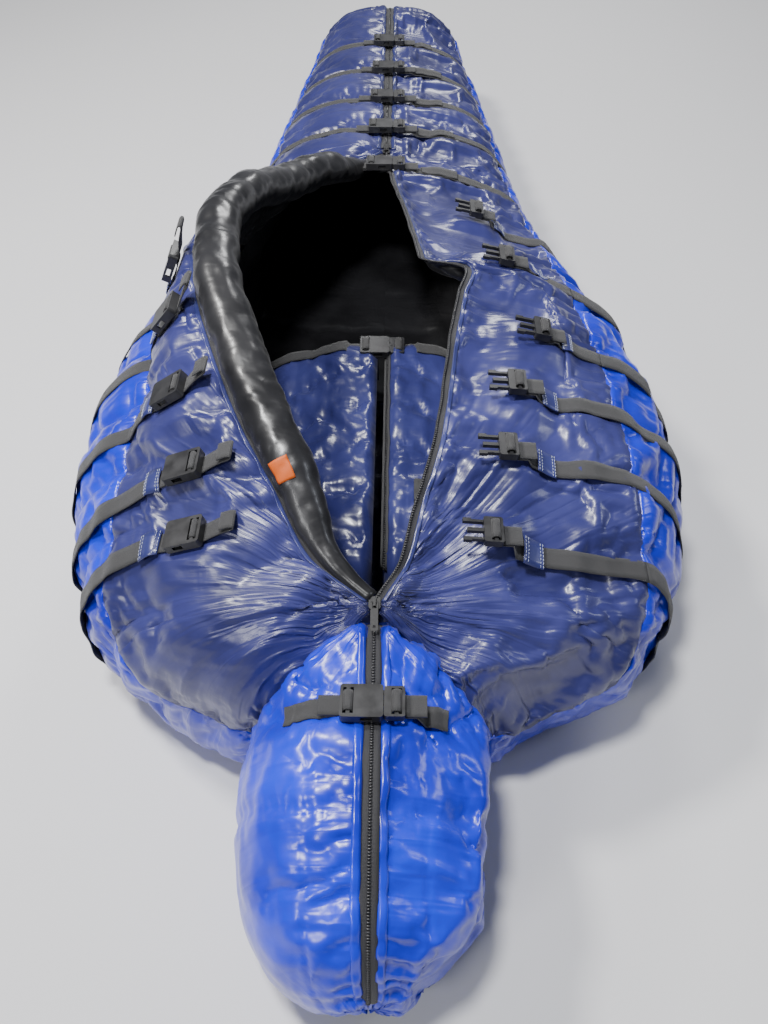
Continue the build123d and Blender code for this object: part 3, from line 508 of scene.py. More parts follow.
def hood_wrinkles(grid, side):
    """How far each point of the hood's shell moves out, with its two sewn seams pressed in."""
    seed = 70 if side < 0 else 90
    across = arc_columns(grid)
    to_edge = across[:, -1:] - across
    down = arc_columns(grid.swapaxes(0, 1)).swapaxes(0, 1)
    move = 0.0032 * seam_puckers(down, to_edge, 0.015, 0.034, seed)
    move += 0.0032 * seam_puckers(across, down, 0.013, 0.040, seed + 3) * smooth((down - 0.012) / 0.03)
    move += 0.0030 * seam_puckers(across, np.abs(grid[..., 1] - HOOD_ROW), 0.014, 0.030, seed + 5)
    move += 0.0050 * rays(grid, 0, NECK_Y, 10.0, 0.14, seed + 7)
    cross_seam = np.abs(grid[..., 1] + 0.985 - 0.02 * np.sin(across * 9))
    move += 0.0022 * seam_puckers(across, cross_seam, 0.015, 0.022, seed + 9)
    move -= 0.0060 * np.exp(-((cross_seam / 0.010) ** 2))
    long_seam = np.abs(to_edge - 0.062)
    move -= 0.0024 * np.exp(-((long_seam / 0.004) ** 2)) * smooth(down / 0.05)
    move += 0.0012 * seam_puckers(down, long_seam, 0.011, 0.016, seed + 11)
    move += 0.0026 * noise(down / 0.050, across / 0.040, seed + 13)
    return move * np.minimum(smooth(to_edge / 0.010), 1)


# ---------------------------------------------------------------- buckle seats
def buckle_frame(name):
    """Middle, long direction, upward direction and half sizes of a buckle part."""
    mesh = bpy.data.objects[name].data
    co = np.empty(len(mesh.vertices) * 3)
    mesh.vertices.foreach_get("co", co)
    co = co.reshape(-1, 3)
    flat = co[:, [0, 2]]
    best = None
    for turn in np.radians(np.arange(-75, 76, 1.0)):
        u = flat @ (math.cos(turn), math.sin(turn))
        v = flat @ (-math.sin(turn), math.cos(turn))
        area = np.ptp(u) * np.ptp(v) * (1 if np.ptp(u) > np.ptp(v) else 9)
        if best is None or area < best[0]:
            best = (area, turn, (u.max() + u.min()) / 2, (v.max() + v.min()) / 2, np.ptp(u), np.ptp(v))
    _, turn, u, v, length, depth = best
    along = np.array([math.cos(turn), 0, math.sin(turn)])
    up = np.array([-math.sin(turn), 0, math.cos(turn)])
    y = (co[:, 1].max() + co[:, 1].min()) / 2
    return along * u + up * v + np.array([0, y, 0]), along, up, length / 2, depth / 2


def seat_below(grid, middle, along, up, half_length, half_depth, gap=0.0055):
    """Keep the shell clear of the underside of a buckle part, and bring it up to it."""
    d = grid - middle
    u, v, h = d @ along, d[..., 1], d @ up
    outside = np.hypot(np.maximum(np.abs(u) - half_length - 0.006, 0), np.maximum(np.abs(v) - 0.021, 0))
    near = outside < 0.03
    excess = np.maximum(h + half_depth + gap - outside * 0.7, 0) * near * (np.abs(h) < 0.06)
    short = np.clip(-h - half_depth - gap, 0, MAX_SEAT) * (np.abs(h) < 0.06)
    from_edge = np.arange(grid.shape[1])[::-1]
    short *= smooth(1 - outside / 0.05) * smooth((from_edge - 6) / 18)
    return grid + up * (short - excess)[..., None]


def seat_buckles(grid, names):
    for name in names:
        middle, along, up, half_length, half_depth = buckle_frame(name)
        grid = seat_below(grid, middle, along, up, half_length, half_depth)
    return grid


# ---------------------------------------------------------------- materials
def new_material(name):
    material = bpy.data.materials.new(name)
    material.use_nodes = True
    tree = material.node_tree
    return material, tree.nodes, tree.links, tree.nodes["Principled BSDF"]


def texture(nodes, kind, scale, **values):
    node = nodes.new(kind)
    if "Scale" in node.inputs:
        node.inputs["Scale"].default_value = scale
    for key, value in values.items():
        node.inputs[key.replace("_", " ")].default_value = value
    return node


def ramp(nodes, links, source, low, high, at=(0.35, 0.65)):
    node = nodes.new("ShaderNodeValToRGB")
    node.color_ramp.elements[0].position, node.color_ramp.elements[1].position = at
    node.color_ramp.elements[0].color = (*low, 1)
    node.color_ramp.elements[1].color = (*high, 1)
    links.new(source, node.inputs["Fac"])
    return node.outputs["Color"]


def to_range(nodes, links, source, low, high):
    node = nodes.new("ShaderNodeMapRange")
    node.inputs["To Min"].default_value = low
    node.inputs["To Max"].default_value = high
    links.new(source, node.inputs["Value"])
    return node.outputs["Result"]


def bump(nodes, links, source, strength, distance, below=None):
    node = nodes.new("ShaderNodeBump")
    node.inputs["Strength"].default_value = strength
    node.inputs["Distance"].default_value = distance
    links.new(source, node.inputs["Height"])
    if below:
        links.new(below, node.inputs["Normal"])
    return node.outputs["Normal"]


def stretched(nodes, links, place, scale, turn=0.0):
    """Coordinates stretched in one direction, so that a texture on them runs in streaks."""
    node = nodes.new("ShaderNodeMapping")
    node.inputs["Scale"].default_value = scale
    node.inputs["Rotation"].default_value = (0, 0, turn)
    links.new(place, node.inputs["Vector"])
    return node.outputs["Vector"]


def seam_creases(nodes, links, normal):
    """Fine creases square to the seams, on the cloth's own coordinates, where seams pull it."""
    cloth = nodes.new("ShaderNodeUVMap")
    cloth.uv_map = "cloth"
    pull = nodes.new("ShaderNodeAttribute")
    pull.attribute_name = "pull"
    for size, across, strength, distance in ((55, 0.09, 0.95, 0.0065), (120, 0.10, 0.65, 0.0028)):
        crease = texture(nodes, "ShaderNodeTexNoise", size, Detail=2, Distortion=0.35)
        crease.noise_type = "RIDGED_MULTIFRACTAL"
        vector = stretched(nodes, links, cloth.outputs["UV"], (1.0, across, 1.0))
        links.new(vector, crease.inputs["Vector"])
        height = nodes.new("ShaderNodeMath")
        height.operation = "MULTIPLY"
        links.new(crease.outputs["Fac"], height.inputs[0])
        links.new(pull.outputs["Fac"], height.inputs[1])
        normal = bump(nodes, links, height.outputs["Value"], strength, distance, normal)
    return normal


def shiny_nylon(name, dark, light, roughness, crinkle=1.0, coat=0.25, seams=False):
    """Thin calendered nylon over down: slight colour drift, sharp creases and a fine weave."""
    material, nodes, links, shader = new_material(name)
    place = nodes.new("ShaderNodeTexCoord").outputs["Object"]
    drift = texture(nodes, "ShaderNodeTexNoise", 9, Detail=4)
    links.new(place, drift.inputs["Vector"])
    links.new(ramp(nodes, links, drift.outputs["Fac"], dark, light), shader.inputs["Base Color"])
    normal = None
    layers = (
        ((1.0, 2.4, 1.0), 0.45, 19, 0.45, 0.0040), ((2.2, 1.0, 1.0), -0.55, 24, 0.35, 0.0030),
        ((1.0, 1.3, 1.6), 0.9, 52, 0.28, 0.0014),
    )
    for scale, turn, size, strength, distance in layers:
        crease = texture(nodes, "ShaderNodeTexNoise", size, Detail=2, Distortion=0.8)
        crease.noise_type = "RIDGED_MULTIFRACTAL"
        links.new(stretched(nodes, links, place, scale, turn), crease.inputs["Vector"])
        normal = bump(nodes, links, crease.outputs["Fac"], strength * crinkle, distance, normal)
    weave = texture(nodes, "ShaderNodeTexVoronoi", 420)
    weave.distance = "CHEBYCHEV"
    links.new(place, weave.inputs["Vector"])
    normal = bump(nodes, links, weave.outputs["Distance"], 0.05, 0.0004, normal)
    if seams:
        normal = seam_creases(nodes, links, normal)
    links.new(normal, shader.inputs["Normal"])
    links.new(
        to_range(nodes, links, drift.outputs["Fac"], roughness - 0.06, roughness + 0.08),
        shader.inputs["Roughness"],
    )
    shader.inputs["Coat Weight"].default_value = coat
    shader.inputs["Coat Roughness"].default_value = 0.18
    shader.inputs["Sheen Weight"].default_value = 0.06
    shader.inputs["Sheen Roughness"].default_value = 0.4
    return material


def webbing_material(name, dark, light):
    """Flat woven webbing: ribs across and a twill along, on the strip's own UV in metres."""
    material, nodes, links, shader = new_material(name)
    uv = nodes.new("ShaderNodeUVMap")
    uv.uv_map = "strip"
    ribs = texture(nodes, "ShaderNodeTexWave", 260)
    ribs.bands_direction = "X"
    rows = texture(nodes, "ShaderNodeTexWave", 330)
    rows.bands_direction = "Y"
    fuzz = texture(nodes, "ShaderNodeTexNoise", 900, Detail=3)
    for node in (ribs, rows, fuzz):
        links.new(uv.outputs["UV"], node.inputs["Vector"])
    links.new(ramp(nodes, links, fuzz.outputs["Fac"], dark, light), shader.inputs["Base Color"])
    normal = bump(nodes, links, ribs.outputs["Fac"], 0.5, 0.0005)
    normal = bump(nodes, links, rows.outputs["Fac"], 0.4, 0.0004, normal)
    links.new(normal, shader.inputs["Normal"])
    links.new(to_range(nodes, links, fuzz.outputs["Fac"], 0.55, 0.75), shader.inputs["Roughness"])
    shader.inputs["Sheen Weight"].default_value = 0.10
    return material


def plastic_material(name, colour, roughness):
    """Moulded acetal: fine texture and faint wear."""
    material, nodes, links, shader = new_material(name)
    place = nodes.new("ShaderNodeTexCoord").outputs["Object"]
    grain = texture(nodes, "ShaderNodeTexNoise", 1400, Detail=2)
    wear = texture(nodes, "ShaderNodeTexNoise", 60, Detail=6)
    for node in (grain, wear):
        links.new(place, node.inputs["Vector"])
    lighter = tuple(min(c * 1.6 + 0.008, 1) for c in colour)
    links.new(ramp(nodes, links, wear.outputs["Fac"], colour, lighter), shader.inputs["Base Color"])
    dull = to_range(nodes, links, wear.outputs["Fac"], roughness - 0.06, roughness + 0.12)
    links.new(dull, shader.inputs["Roughness"])
    links.new(bump(nodes, links, grain.outputs["Fac"], 0.15, 0.0003), shader.inputs["Normal"])
    return material


def metal_material(name):
    """Black-lacquered die-cast metal, a little worn."""
    material, nodes, links, shader = new_material(name)
    place = nodes.new("ShaderNodeTexCoord").outputs["Object"]
    wear = texture(nodes, "ShaderNodeTexNoise", 220, Detail=6)
    links.new(place, wear.inputs["Vector"])
    links.new(
        ramp(nodes, links, wear.outputs["Fac"], (0.006, 0.006, 0.007), (0.03, 0.03, 0.032), (0.5, 0.8)),
        shader.inputs["Base Color"],
    )
    shader.inputs["Specular IOR Level"].default_value = 0.3
    links.new(to_range(nodes, links, wear.outputs["Fac"], 0.45, 0.60), shader.inputs["Roughness"])
    links.new(bump(nodes, links, wear.outputs["Fac"], 0.1, 0.0003), shader.inputs["Normal"])
    return material


def thread_material(name, colour):
    material, nodes, links, shader = new_material(name)
    place = nodes.new("ShaderNodeTexCoord").outputs["Object"]
    twist = texture(nodes, "ShaderNodeTexNoise", 2500, Detail=2)
    links.new(place, twist.inputs["Vector"])
    links.new(bump(nodes, links, twist.outputs["Fac"], 0.4, 0.0002), shader.inputs["Normal"])
    lighter = tuple(min(c * 1.25, 1) for c in colour)
    links.new(ramp(nodes, links, twist.outputs["Fac"], colour, lighter), shader.inputs["Base Color"])
    shader.inputs["Roughness"].default_value = 0.6
    return material


MAT = {
    "navy": shiny_nylon(
        "navy_nylon", (0.017, 0.019, 0.092), (0.032, 0.035, 0.150), 0.33, 0.24, 0.16, seams=True),
    "blue": shiny_nylon(
        "royal_nylon", (0.002, 0.009, 0.38), (0.004, 0.021, 0.64), 0.30, 0.30, 0.2, seams=True),
    "black": shiny_nylon("black_nylon", (0.006, 0.006, 0.007), (0.015, 0.015, 0.017), 0.36, 0.6, 0.12),
    "inner": shiny_nylon("inner_nylon", (0.016, 0.019, 0.088), (0.031, 0.036, 0.145), 0.31, 0.8, 0.16),
    "facing": shiny_nylon("facing_nylon", (0.014, 0.018, 0.085), (0.026, 0.032, 0.14), 0.36),
    "webbing": webbing_material("grey_webbing", (0.011, 0.011, 0.012), (0.030, 0.030, 0.032)),
    "loop": webbing_material("blue_webbing", (0.010, 0.02, 0.18), (0.02, 0.05, 0.34)),
    "tape": webbing_material("zip_tape", (0.006, 0.006, 0.008), (0.020, 0.020, 0.024)),
    "coil": plastic_material("zip_coil", (0.012, 0.012, 0.014), 0.30),
    "plastic": plastic_material("buckle_plastic", (0.008, 0.008, 0.009), 0.38),
    "metal": metal_material("slider_metal"),
    "thread": thread_material("pale_thread", (0.30, 0.33, 0.45)),
    "label": thread_material("orange_cloth", (0.42, 0.070, 0.0)),
}


# ---------------------------------------------------------------- pieces
def dress(obj, material, body="bag", replaces=()):
    """Give a piece its material and body, and hide the CAD parts that it replaces."""
    obj.data.materials.clear()
    obj.data.materials.append(MAT[material])
    if body:
        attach(obj, body)
    if replaces:
        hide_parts(*replaces)
    return obj


def uv_layer(obj, name, uv):
    """New UV layer from one place in metres for each point."""
    layer = obj.data.uv_layers.new(name=name)
    corners = np.empty(len(obj.data.loops), int)
    obj.data.loops.foreach_get("vertex_index", corners)
    layer.data.foreach_set("uv", uv[corners].ravel())


def cloth_layers(obj, uv, pull):
    """Cloth coordinates in metres, and how strongly seams pull the cloth at each point."""
    uv_layer(obj, "cloth", uv)
    attribute = obj.data.attributes.new("pull", "FLOAT", "POINT")
    attribute.data.foreach_set("value", pull.astype(np.float32))


def cloth_of(grid, tight, reach):
    """Cloth coordinates of a grid, fanned out round the neck, and its pull."""
    return np.stack([fanned(grid, reach), arc_columns(grid)], -1), np.clip(tight, 0, 1)


def closed_grid(name, outer, inner, cloth=None):
    """A padded panel: an outer and an inner face, joined round all four edges."""
    points = np.concatenate([outer.reshape(-1, 3), inner.reshape(-1, 3)])
    obj = mesh_object(name, points, sheet_faces(*outer.shape[:2]))
    if cloth:
        uv, pull = cloth[0].reshape(-1, 2), cloth[1].ravel()
        cloth_layers(obj, np.concatenate([uv, uv]), np.concatenate([pull, pull]))
    tidy_normals(obj)
    return obj


def tidy_normals(obj):
    bm = bmesh.new()
    bm.from_mesh(obj.data)
    bmesh.ops.remove_doubles(bm, verts=bm.verts, dist=1e-6)
    bmesh.ops.dissolve_degenerate(bm, edges=bm.edges, dist=1e-6)
    bmesh.ops.recalc_face_normals(bm, faces=bm.faces)
    bm.to_mesh(obj.data)
    bm.free()


def ribbon_data(top, thickness):
    """Points, faces and UV of a flat strip; top is rows along it by columns across it."""
    normal = np.cross(np.gradient(top, axis=0), np.gradient(top, axis=1))
    normal /= np.linalg.norm(normal, axis=-1, keepdims=True) + 1e-12
    low = top - normal * thickness
    along, across = distance_along(top[:, top.shape[1] // 2]), distance_along(top[0])
    uv = np.stack(np.meshgrid(along, across, indexing="ij"), -1).reshape(-1, 2)
    points = np.concatenate([top.reshape(-1, 3), low.reshape(-1, 3)])
    return points, sheet_faces(*top.shape[:2]), np.concatenate([uv, uv])


def strips(name, tops, thickness):
    """One object of many flat strips."""
    points, faces, uvs, start = [], [], [], 0
    for top in tops:
        p, f, uv = ribbon_data(top, thickness)
        points.append(p)
        uvs.append(uv)
        faces += [tuple(k + start for k in face) for face in f]
        start += len(p)
    obj = mesh_object(name, np.concatenate(points), faces)
    uv_layer(obj, "strip", np.concatenate(uvs))
    return obj


# ---------------------------------------------------------------- flap bends
FOOT_BEND = (0.200, 0.060)      # a flap starts to lift at the first y, and lifts fully from the second
NECK_BEND = (-0.756, -0.710)
FOLD_BEND = 0.055               # and across it, over this distance from its fold


def flap_bends(side):
    """Start and end points of the three bends of a flap: foot end, neck end and fold."""
    z = 0.30
    a = Vector((side * FLAP_FOOT_X, FLAP_FOOT_Y, z))
    b = Vector((side * FLAP_NECK_X, FLAP_NECK_Y, z))
    run = (b - a).normalized()
    inward = Vector((-side * abs(run.y), side * run.x * (1 if run.y < 0 else -1), 0)).normalized()
    if abs(inward.dot(run)) > 1e-3:
        inward = (inward - run * inward.dot(run)).normalized()
    return (
        (Vector((0, FOOT_BEND[0], z)), Vector((0, FOOT_BEND[1], z))),
        (Vector((0, NECK_BEND[0], z)), Vector((0, NECK_BEND[1], z))),
        (a, a + inward * FOLD_BEND),
    )


def share_plane(first, second):
    """Point and normal of the plane where two bends are equally far along."""
    (a, b), (c, d) = first, second
    g1, g2 = (b - a) / (b - a).length_squared, (d - c) / (d - c).length_squared
    normal = g1 - g2
    offset = g1.dot(a) - g2.dot(c)
    return normal * (offset / normal.length_squared), normal


def turned(plane):
    """The same plane, facing the other way."""
    return plane[0], -plane[1]


def part_of_mesh(obj, name, cuts):
    """Copy of obj on the negative side of each plane; None if nothing is left."""
    bm = bmesh.new()
    bm.from_mesh(obj.data)
    for point, normal in cuts:
        geometry = bm.verts[:] + bm.edges[:] + bm.faces[:]
        bmesh.ops.bisect_plane(
            bm, geom=geometry, dist=1e-7, plane_co=point, plane_no=normal, clear_outer=True)
    if not bm.faces:
        bm.free()
        return None
    mesh = obj.data.copy()
    mesh.name = name
    bm.to_mesh(mesh)
    bm.free()
    part = bpy.data.objects.new(name, mesh)
    bpy.context.collection.objects.link(part)
    return part


def flap_piece(obj, side, material, replaces=()):
    """Cut a flap's piece in three where its bends meet."""
    foot, neck, fold = flap_bends(side)
    foot_plane, neck_plane = share_plane(foot, fold), share_plane(neck, fold)
    shades = vertex_normals(obj)
    name = obj.name
    made = [
        (part_of_mesh(obj, name + "_foot", [foot_plane]), foot),
        (part_of_mesh(obj, name + "_neck", [neck_plane, turned(foot_plane)]), neck),
        (part_of_mesh(obj, name + "_middle", [turned(foot_plane), turned(neck_plane)]), fold),
    ]
    parts = []
    for part, (start, end) in made:
        if part is None:
            continue
        keep_normals(part, shades)
        dress(part, material, None, replaces)
        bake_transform(part)
        parts.append(part)
    bpy.data.objects.remove(obj)
    return parts


def vertex_normals(obj):
    """A search tree of a mesh's points, with their normals."""
    count = len(obj.data.vertices)
    co, no = np.empty(count * 3), np.empty(count * 3)
    obj.data.vertices.foreach_get("co", co)
    obj.data.vertex_normals.foreach_get("vector", no)
    tree = KDTree(count)
    for i, p in enumerate(co.reshape(-1, 3)):
        tree.insert(p, i)
    tree.balance()
    return tree, no.reshape(-1, 3)


def keep_normals(obj, shades):
    """Shade a cut piece as the whole was shaded, so that no cut shows."""
    tree, normals = shades
    own = np.empty(len(obj.data.vertices) * 3)
    obj.data.vertex_normals.foreach_get("vector", own)
    own = own.reshape(-1, 3)
    result = []
    for v, mine in zip(obj.data.vertices, own):
        total = np.zeros(3)
        for _, index, distance in tree.find_n(v.co, 3):
            if normals[index] @ mine > 0:
                total += normals[index] / (distance + 1e-5)
        length = np.linalg.norm(total)
        result.append(tuple(total / length) if length > 0 else tuple(mine))
    obj.data.normals_split_custom_set_from_vertices(result)


# ---------------------------------------------------------------- outer shell
def make_shell():
    """All outer panels; returns the finished grids that straps and zips lie on."""
    bags, hoods = puffed_shell()
    done = {}
    for side, bag, hood in zip((-1, 1), bags, hoods):
        bag, hood = finer(bag), finer(hood)
        bag = bag + grid_normals(bag, away_from_axis(bag)) * bag_wrinkles(bag, side)[..., None]
        hood = hood + grid_normals(hood, away_from_axis(hood)) * hood_wrinkles(hood, side)[..., None]
        bag = seat_buckles(bag, LOOSE[side])
        for grid in (bag, hood):
            grid[..., 2] = np.maximum(grid[..., 2], 0.0015)
            grid[:, -1, 0] = side * np.maximum(side * grid[:, -1, 0], 0.004)
        done[side] = (bag, hood)
        name = "left" if side < 0 else "right"
        shell_panels(bag, hood, side, name)
    return done


def bag_pull(grid):
    """How strongly seams, zip and straps pull the bag's shell."""
    across = arc_columns(grid)
    seam = across[:, 2 * SIDE_COLUMNS][:, None]
    tight = 0.12 + 0.9 * np.exp(-np.abs(across - seam) / 0.035)
    tight += 0.9 * np.exp(-np.abs(across[:, -1:] - across) / 0.060)
    for y in LEG_ROWS:
        tight += 0.4 * np.exp(-np.abs(grid[..., 1] - y) / 0.02)
    neck = np.hypot(grid[..., 0], grid[..., 1] - NECK_Y)
    return tight + 0.8 * np.exp(-neck / 0.20)


def hood_pull(grid):
    """How strongly the neck seam and the zip pull the hood's shell."""
    across = arc_columns(grid)
    down = arc_columns(grid.swapaxes(0, 1)).swapaxes(0, 1)
    tight = 0.35 + 0.8 * np.exp(-(across[:, -1:] - across) / 0.045)
    return tight + 0.5 * np.exp(-np.abs(grid[..., 1] - HOOD_ROW) / 0.03) + 0.4 * np.exp(-down / 0.05)


def shell_panels(bag, hood, side, name):
    """Cut one half of the shell into its sewn panels."""
    seam = 2 * SIDE_COLUMNS
    first, second, third = (2 * c for c in CUTS[1:4])
    inner = bag - grid_normals(bag, away_from_axis(bag)) * SHELL_CLOTH
    uv, pull = cloth_of(bag, bag_pull(bag), 0.38)

    def panel(suffix, rows, columns):
        cloth = (uv[rows, columns], pull[rows, columns])
        return closed_grid(f"{name}_{suffix}", bag[rows, columns], inner[rows, columns], cloth)

    side_nodes = {-1: ["left_side_shell"], 1: ["right_side_shell", "side_fill"]}[side]
    dress(panel("side_panel", slice(None), slice(0, seam + 1)), "blue",
          replaces=side_nodes)
    leg_nodes = ["leg_shell", "foot_shell", "foot_fill", "top_fill"]
    dress(panel("leg_panel", slice(0, first + 1), slice(seam, None)), "navy",
          replaces=leg_nodes)
    dress(panel("shoulder_panel", slice(second, third + 1), slice(seam, None)), "navy",
          replaces=["shoulder_shell"])
    dress(panel("shoulder_band", slice(third, None), slice(seam, None)), "blue",
          replaces=["shoulder_shell"])
    hood_inner = hood - grid_normals(hood, away_from_axis(hood)) * SHELL_CLOTH
    hood_cloth = cloth_of(hood, hood_pull(hood), 0.20)
    dress(closed_grid(f"{name}_hood_panel", hood, hood_inner, hood_cloth), "blue",
          replaces=["hood_side_shell", "hood_crown_shell", "hood_fill"])
    points = bag[first: second + 1, seam:]
    flap = mesh_object(f"{name}_flap_panel", points.reshape(-1, 3), faces_of(*points.shape[:2]))
    cloth_layers(flap, uv[first: second + 1, seam:].reshape(-1, 2), pull[first: second + 1, seam:].ravel())
    flap_piece(flap, side, "navy", [f"{name}_flap_shell", f"{name}_flap_fill"])


SHELL = make_shell()


# ---------------------------------------------------------------- laying strips on the shell
def blur(a, reach, axis=0):
    """Moving average over 2 * reach + 1 neighbours."""
    pad = [(0, 0)] * a.ndim
    pad[axis] = (reach, reach)
    padded = np.pad(a, pad, mode="edge")
    size = a.shape[axis]
    return sum(padded.take(np.arange(k, k + size), axis) for k in range(2 * reach + 1)) / (2 * reach + 1)


def at_columns(field, columns):
    """A grid's field at fractional columns."""
    i = np.clip(np.floor(columns).astype(int), 0, field.shape[1] - 2)
    t = (columns - i)[None, :, None]
    return field[:, i] * (1 - t) + field[:, i + 1] * t


def at_y(lines, values, y):
    """Values down each column where its line of y crosses the wanted y."""
    result = np.empty((lines.shape[1], values.shape[2]))
    for c in range(lines.shape[1]):
        order = np.maximum.accumulate(-lines[:, c]) + np.arange(len(lines)) * 1e-9
        for k in range(values.shape[2]):
            result[c, k] = np.interp(-y, order, values[:, c, k])
    return result


def lay(grid, y, start, end, width=WEBBING_WIDTH, lift=0.002, count=60):
    """Top of a taut strip across the shell at y, from one column to another: rows by 5 points."""
    normals = blur(blur(grid_normals(grid, away_from_axis(grid)), 2, 0), 2, 1)
    columns = np.linspace(start, end, count)
    points, outs = at_columns(grid, columns), at_columns(normals, columns)
    rows, ups = [], []
    for offset in np.linspace(-0.5, 0.5, 5) * width:
        rows.append(at_y(points[..., 1], points, y + offset))
        ups.append(at_y(points[..., 1], outs, y + offset))
    shell, up = np.stack(rows, 1), np.stack(ups, 1)
    up = unit(blur(up, 3))
    top = shell + up * lift
    flat = blur(0.35 * top + 0.65 * top.mean(1, keepdims=True), 5)
    flat[..., 1] = (y + np.linspace(-0.5, 0.5, 5) * width)[None]
    short = lift - ((flat - shell) * up).sum(-1)
    rise = blur(np.maximum(short, 0).max(1, keepdims=True), 2)
    flat = flat + up * np.maximum(rise, 0)[..., None]
    return face_out(flat, up)


def closed_bar(side, part, y):
    """Middle of the bar on one half of a closed buckle."""
    low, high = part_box(part)
    return np.array([side * BAR_X, y, (low[2] + high[2]) / 2])


def face_out(top, up):
    """The same strip with its columns in the order that makes its normal point outwards."""
    normal = np.cross(np.gradient(top, axis=0), np.gradient(top, axis=1))
    return top if (normal * up).sum() > 0 else top[:, ::-1]


def chaikin(path, times=2):
    """Round the corners of a path."""
    for _ in range(times):
        a, b = path[:-1], path[1:]
        middle = np.stack([0.75 * a + 0.25 * b, 0.25 * a + 0.75 * b], 1).reshape((-1,) + path.shape[1:])
        path = np.concatenate([path[:1], middle, path[-1:]])
    return path


# A webbing's path round a buckle's bar, in mm: away from the buckle's middle, and up
LOOP_BACK = MM * np.array([
    (24, -8.6), (10, -8.6), (0, -8.4), (-4.4, -6), (-4.4, 5), (-2.5, 7.6), (2.5, 7.6), (4.4, 5),
    (4.6, -5), (8, -6.7), (20, -6.7), (34, -6.9),
])
LOOP_OVER = MM * np.array([
    (40, -8.8), (20, -8.6), (8, -8.0), (4.6, -5), (4.4, 5), (2.5, 7.6), (-2.5, 7.6), (-4.4, 5),
    (-4.6, -4), (-9, -5.6), (-22, -1.5), (-38, 2.0), (-50, 2.6), (-54, 5.2), (-49, 7.2), (-36, 6.2),
])


def strap_to_bar(top, bar, away, up, loop):
    """Join a laid strip to its loop round a buckle's bar."""
    path = chaikin(bar + away * loop[:, :1] + up * loop[:, 1:], 2)
    width = np.ptp(top[-1, :, 1])
    cross = np.linspace(-0.5, 0.5, top.shape[1]) * width * np.sign(top[-1, -1, 1] - top[-1, 0, 1])
    rows = path[:, None, :] + cross[None, :, None] * np.array([0, 1.0, 0])
    first = rows[0].mean(0)
    reach = ((top.mean(1) - first) @ away)
    kept = top[reach > 0.006]
    return np.concatenate([kept, rows])


def column_near(grid, point, low, high):
    """Column whose points at the point's y come closest to it."""
    line = at_y(grid[..., 1], grid, point[1])
    near = np.linalg.norm(line - point, axis=1)
    return low + int(near[low:high].argmin())


# ---------------------------------------------------------------- straps
SEAM = 2 * SIDE_COLUMNS                     # column of the long seam of a finished grid
LAST = 2 * (SIDE_COLUMNS + TOP_COLUMNS)     # and of its edge at the zip


def closed_straps():
    """Webbing over the legs and the hood, up to the closed buckles on the ridge."""
    tops = []
    for side in (-1, 1):
        bag, hood = SHELL[side]
        away = np.array([side, 0.0, 0.0])
        for k, y in enumerate(LEG_ROWS):
            top = lay(bag, y, 4, LAST - 3, lift=0.0022)
            bar = closed_bar(side, f"leg_plug_{k + 1}", y)
            tops.append(strap_to_bar(top, bar, away, UP, LOOP_BACK))
        line = np.abs(at_y(hood[..., 1], hood, HOOD_ROW)[:, 0])
        start = HOOD_COLUMNS + np.abs(line[HOOD_COLUMNS:] - HOOD_STRAP[side]).argmin()
        top = lay(hood, HOOD_ROW, start, 2 * HOOD_COLUMNS - 3, lift=0.0022)
        bar = closed_bar(side, "hood_plug", HOOD_ROW)
        tops.append(strap_to_bar(top, bar, away, UP, LOOP_BACK))
    return tops


def strap_tails():
    """Free ends of the leg straps, lying on their own webbing on the right."""
    tops = []
    for k, y in enumerate(LEG_ROWS):
        end = LAST - 12
        tops.append(lay(SHELL[1][0], y + 0.002, end - 17 - 3 * (k % 2), end, lift=0.0052, count=24))
    return tops


def torso_straps():
    """Open straps: side webbing, then webbing over the flaps to the loose buckle halves."""
    fixed = []
    for side, name, loop in ((-1, "left", LOOP_OVER), (1, "right", LOOP_BACK)):
        bag = SHELL[side][0]
        moving, tabs = [], []
        for part in LOOSE[side]:
            bar = np.array(JOINTS[part + "_swing"]["pos_m"])
            y = bar[1]
            _, along, up, _, _ = buckle_frame(part)
            away = along if along[0] * side > 0 else -along
            meet = bar + away * loop[0, 0] + up * loop[0, 1]
            column = column_near(bag, meet, SEAM, LAST)
            whole = lay(bag, y, 6, column + 4, count=110)
            split = int(np.abs(whole[:, 2, 0] * side - seam_x_at(bag, y, side)).argmin())
            fixed.append(whole[: split + 1])
            moving.append(strap_to_bar(whole[split:], bar, away, up, loop))
            tabs.append(lay(bag, y, column - 9, column - 2, WEBBING_WIDTH + 0.008, 0.0048, 14))
        obj = strips(f"{name}_flap_straps", moving, WEBBING)
        flap_piece(obj, side, "webbing", [f"{name}_flap_webbing"])
        obj = strips(f"{name}_flap_tabs", tabs, SHELL_CLOTH)
        flap_piece(obj, side, "facing", ["keeper_tabs"])
        stitch_tabs(tabs, side, name)
    return fixed


def seam_x_at(bag, y, side):
    return side * at_y(bag[:, SEAM:SEAM + 1, 1], bag[:, SEAM:SEAM + 1], y)[0, 0]


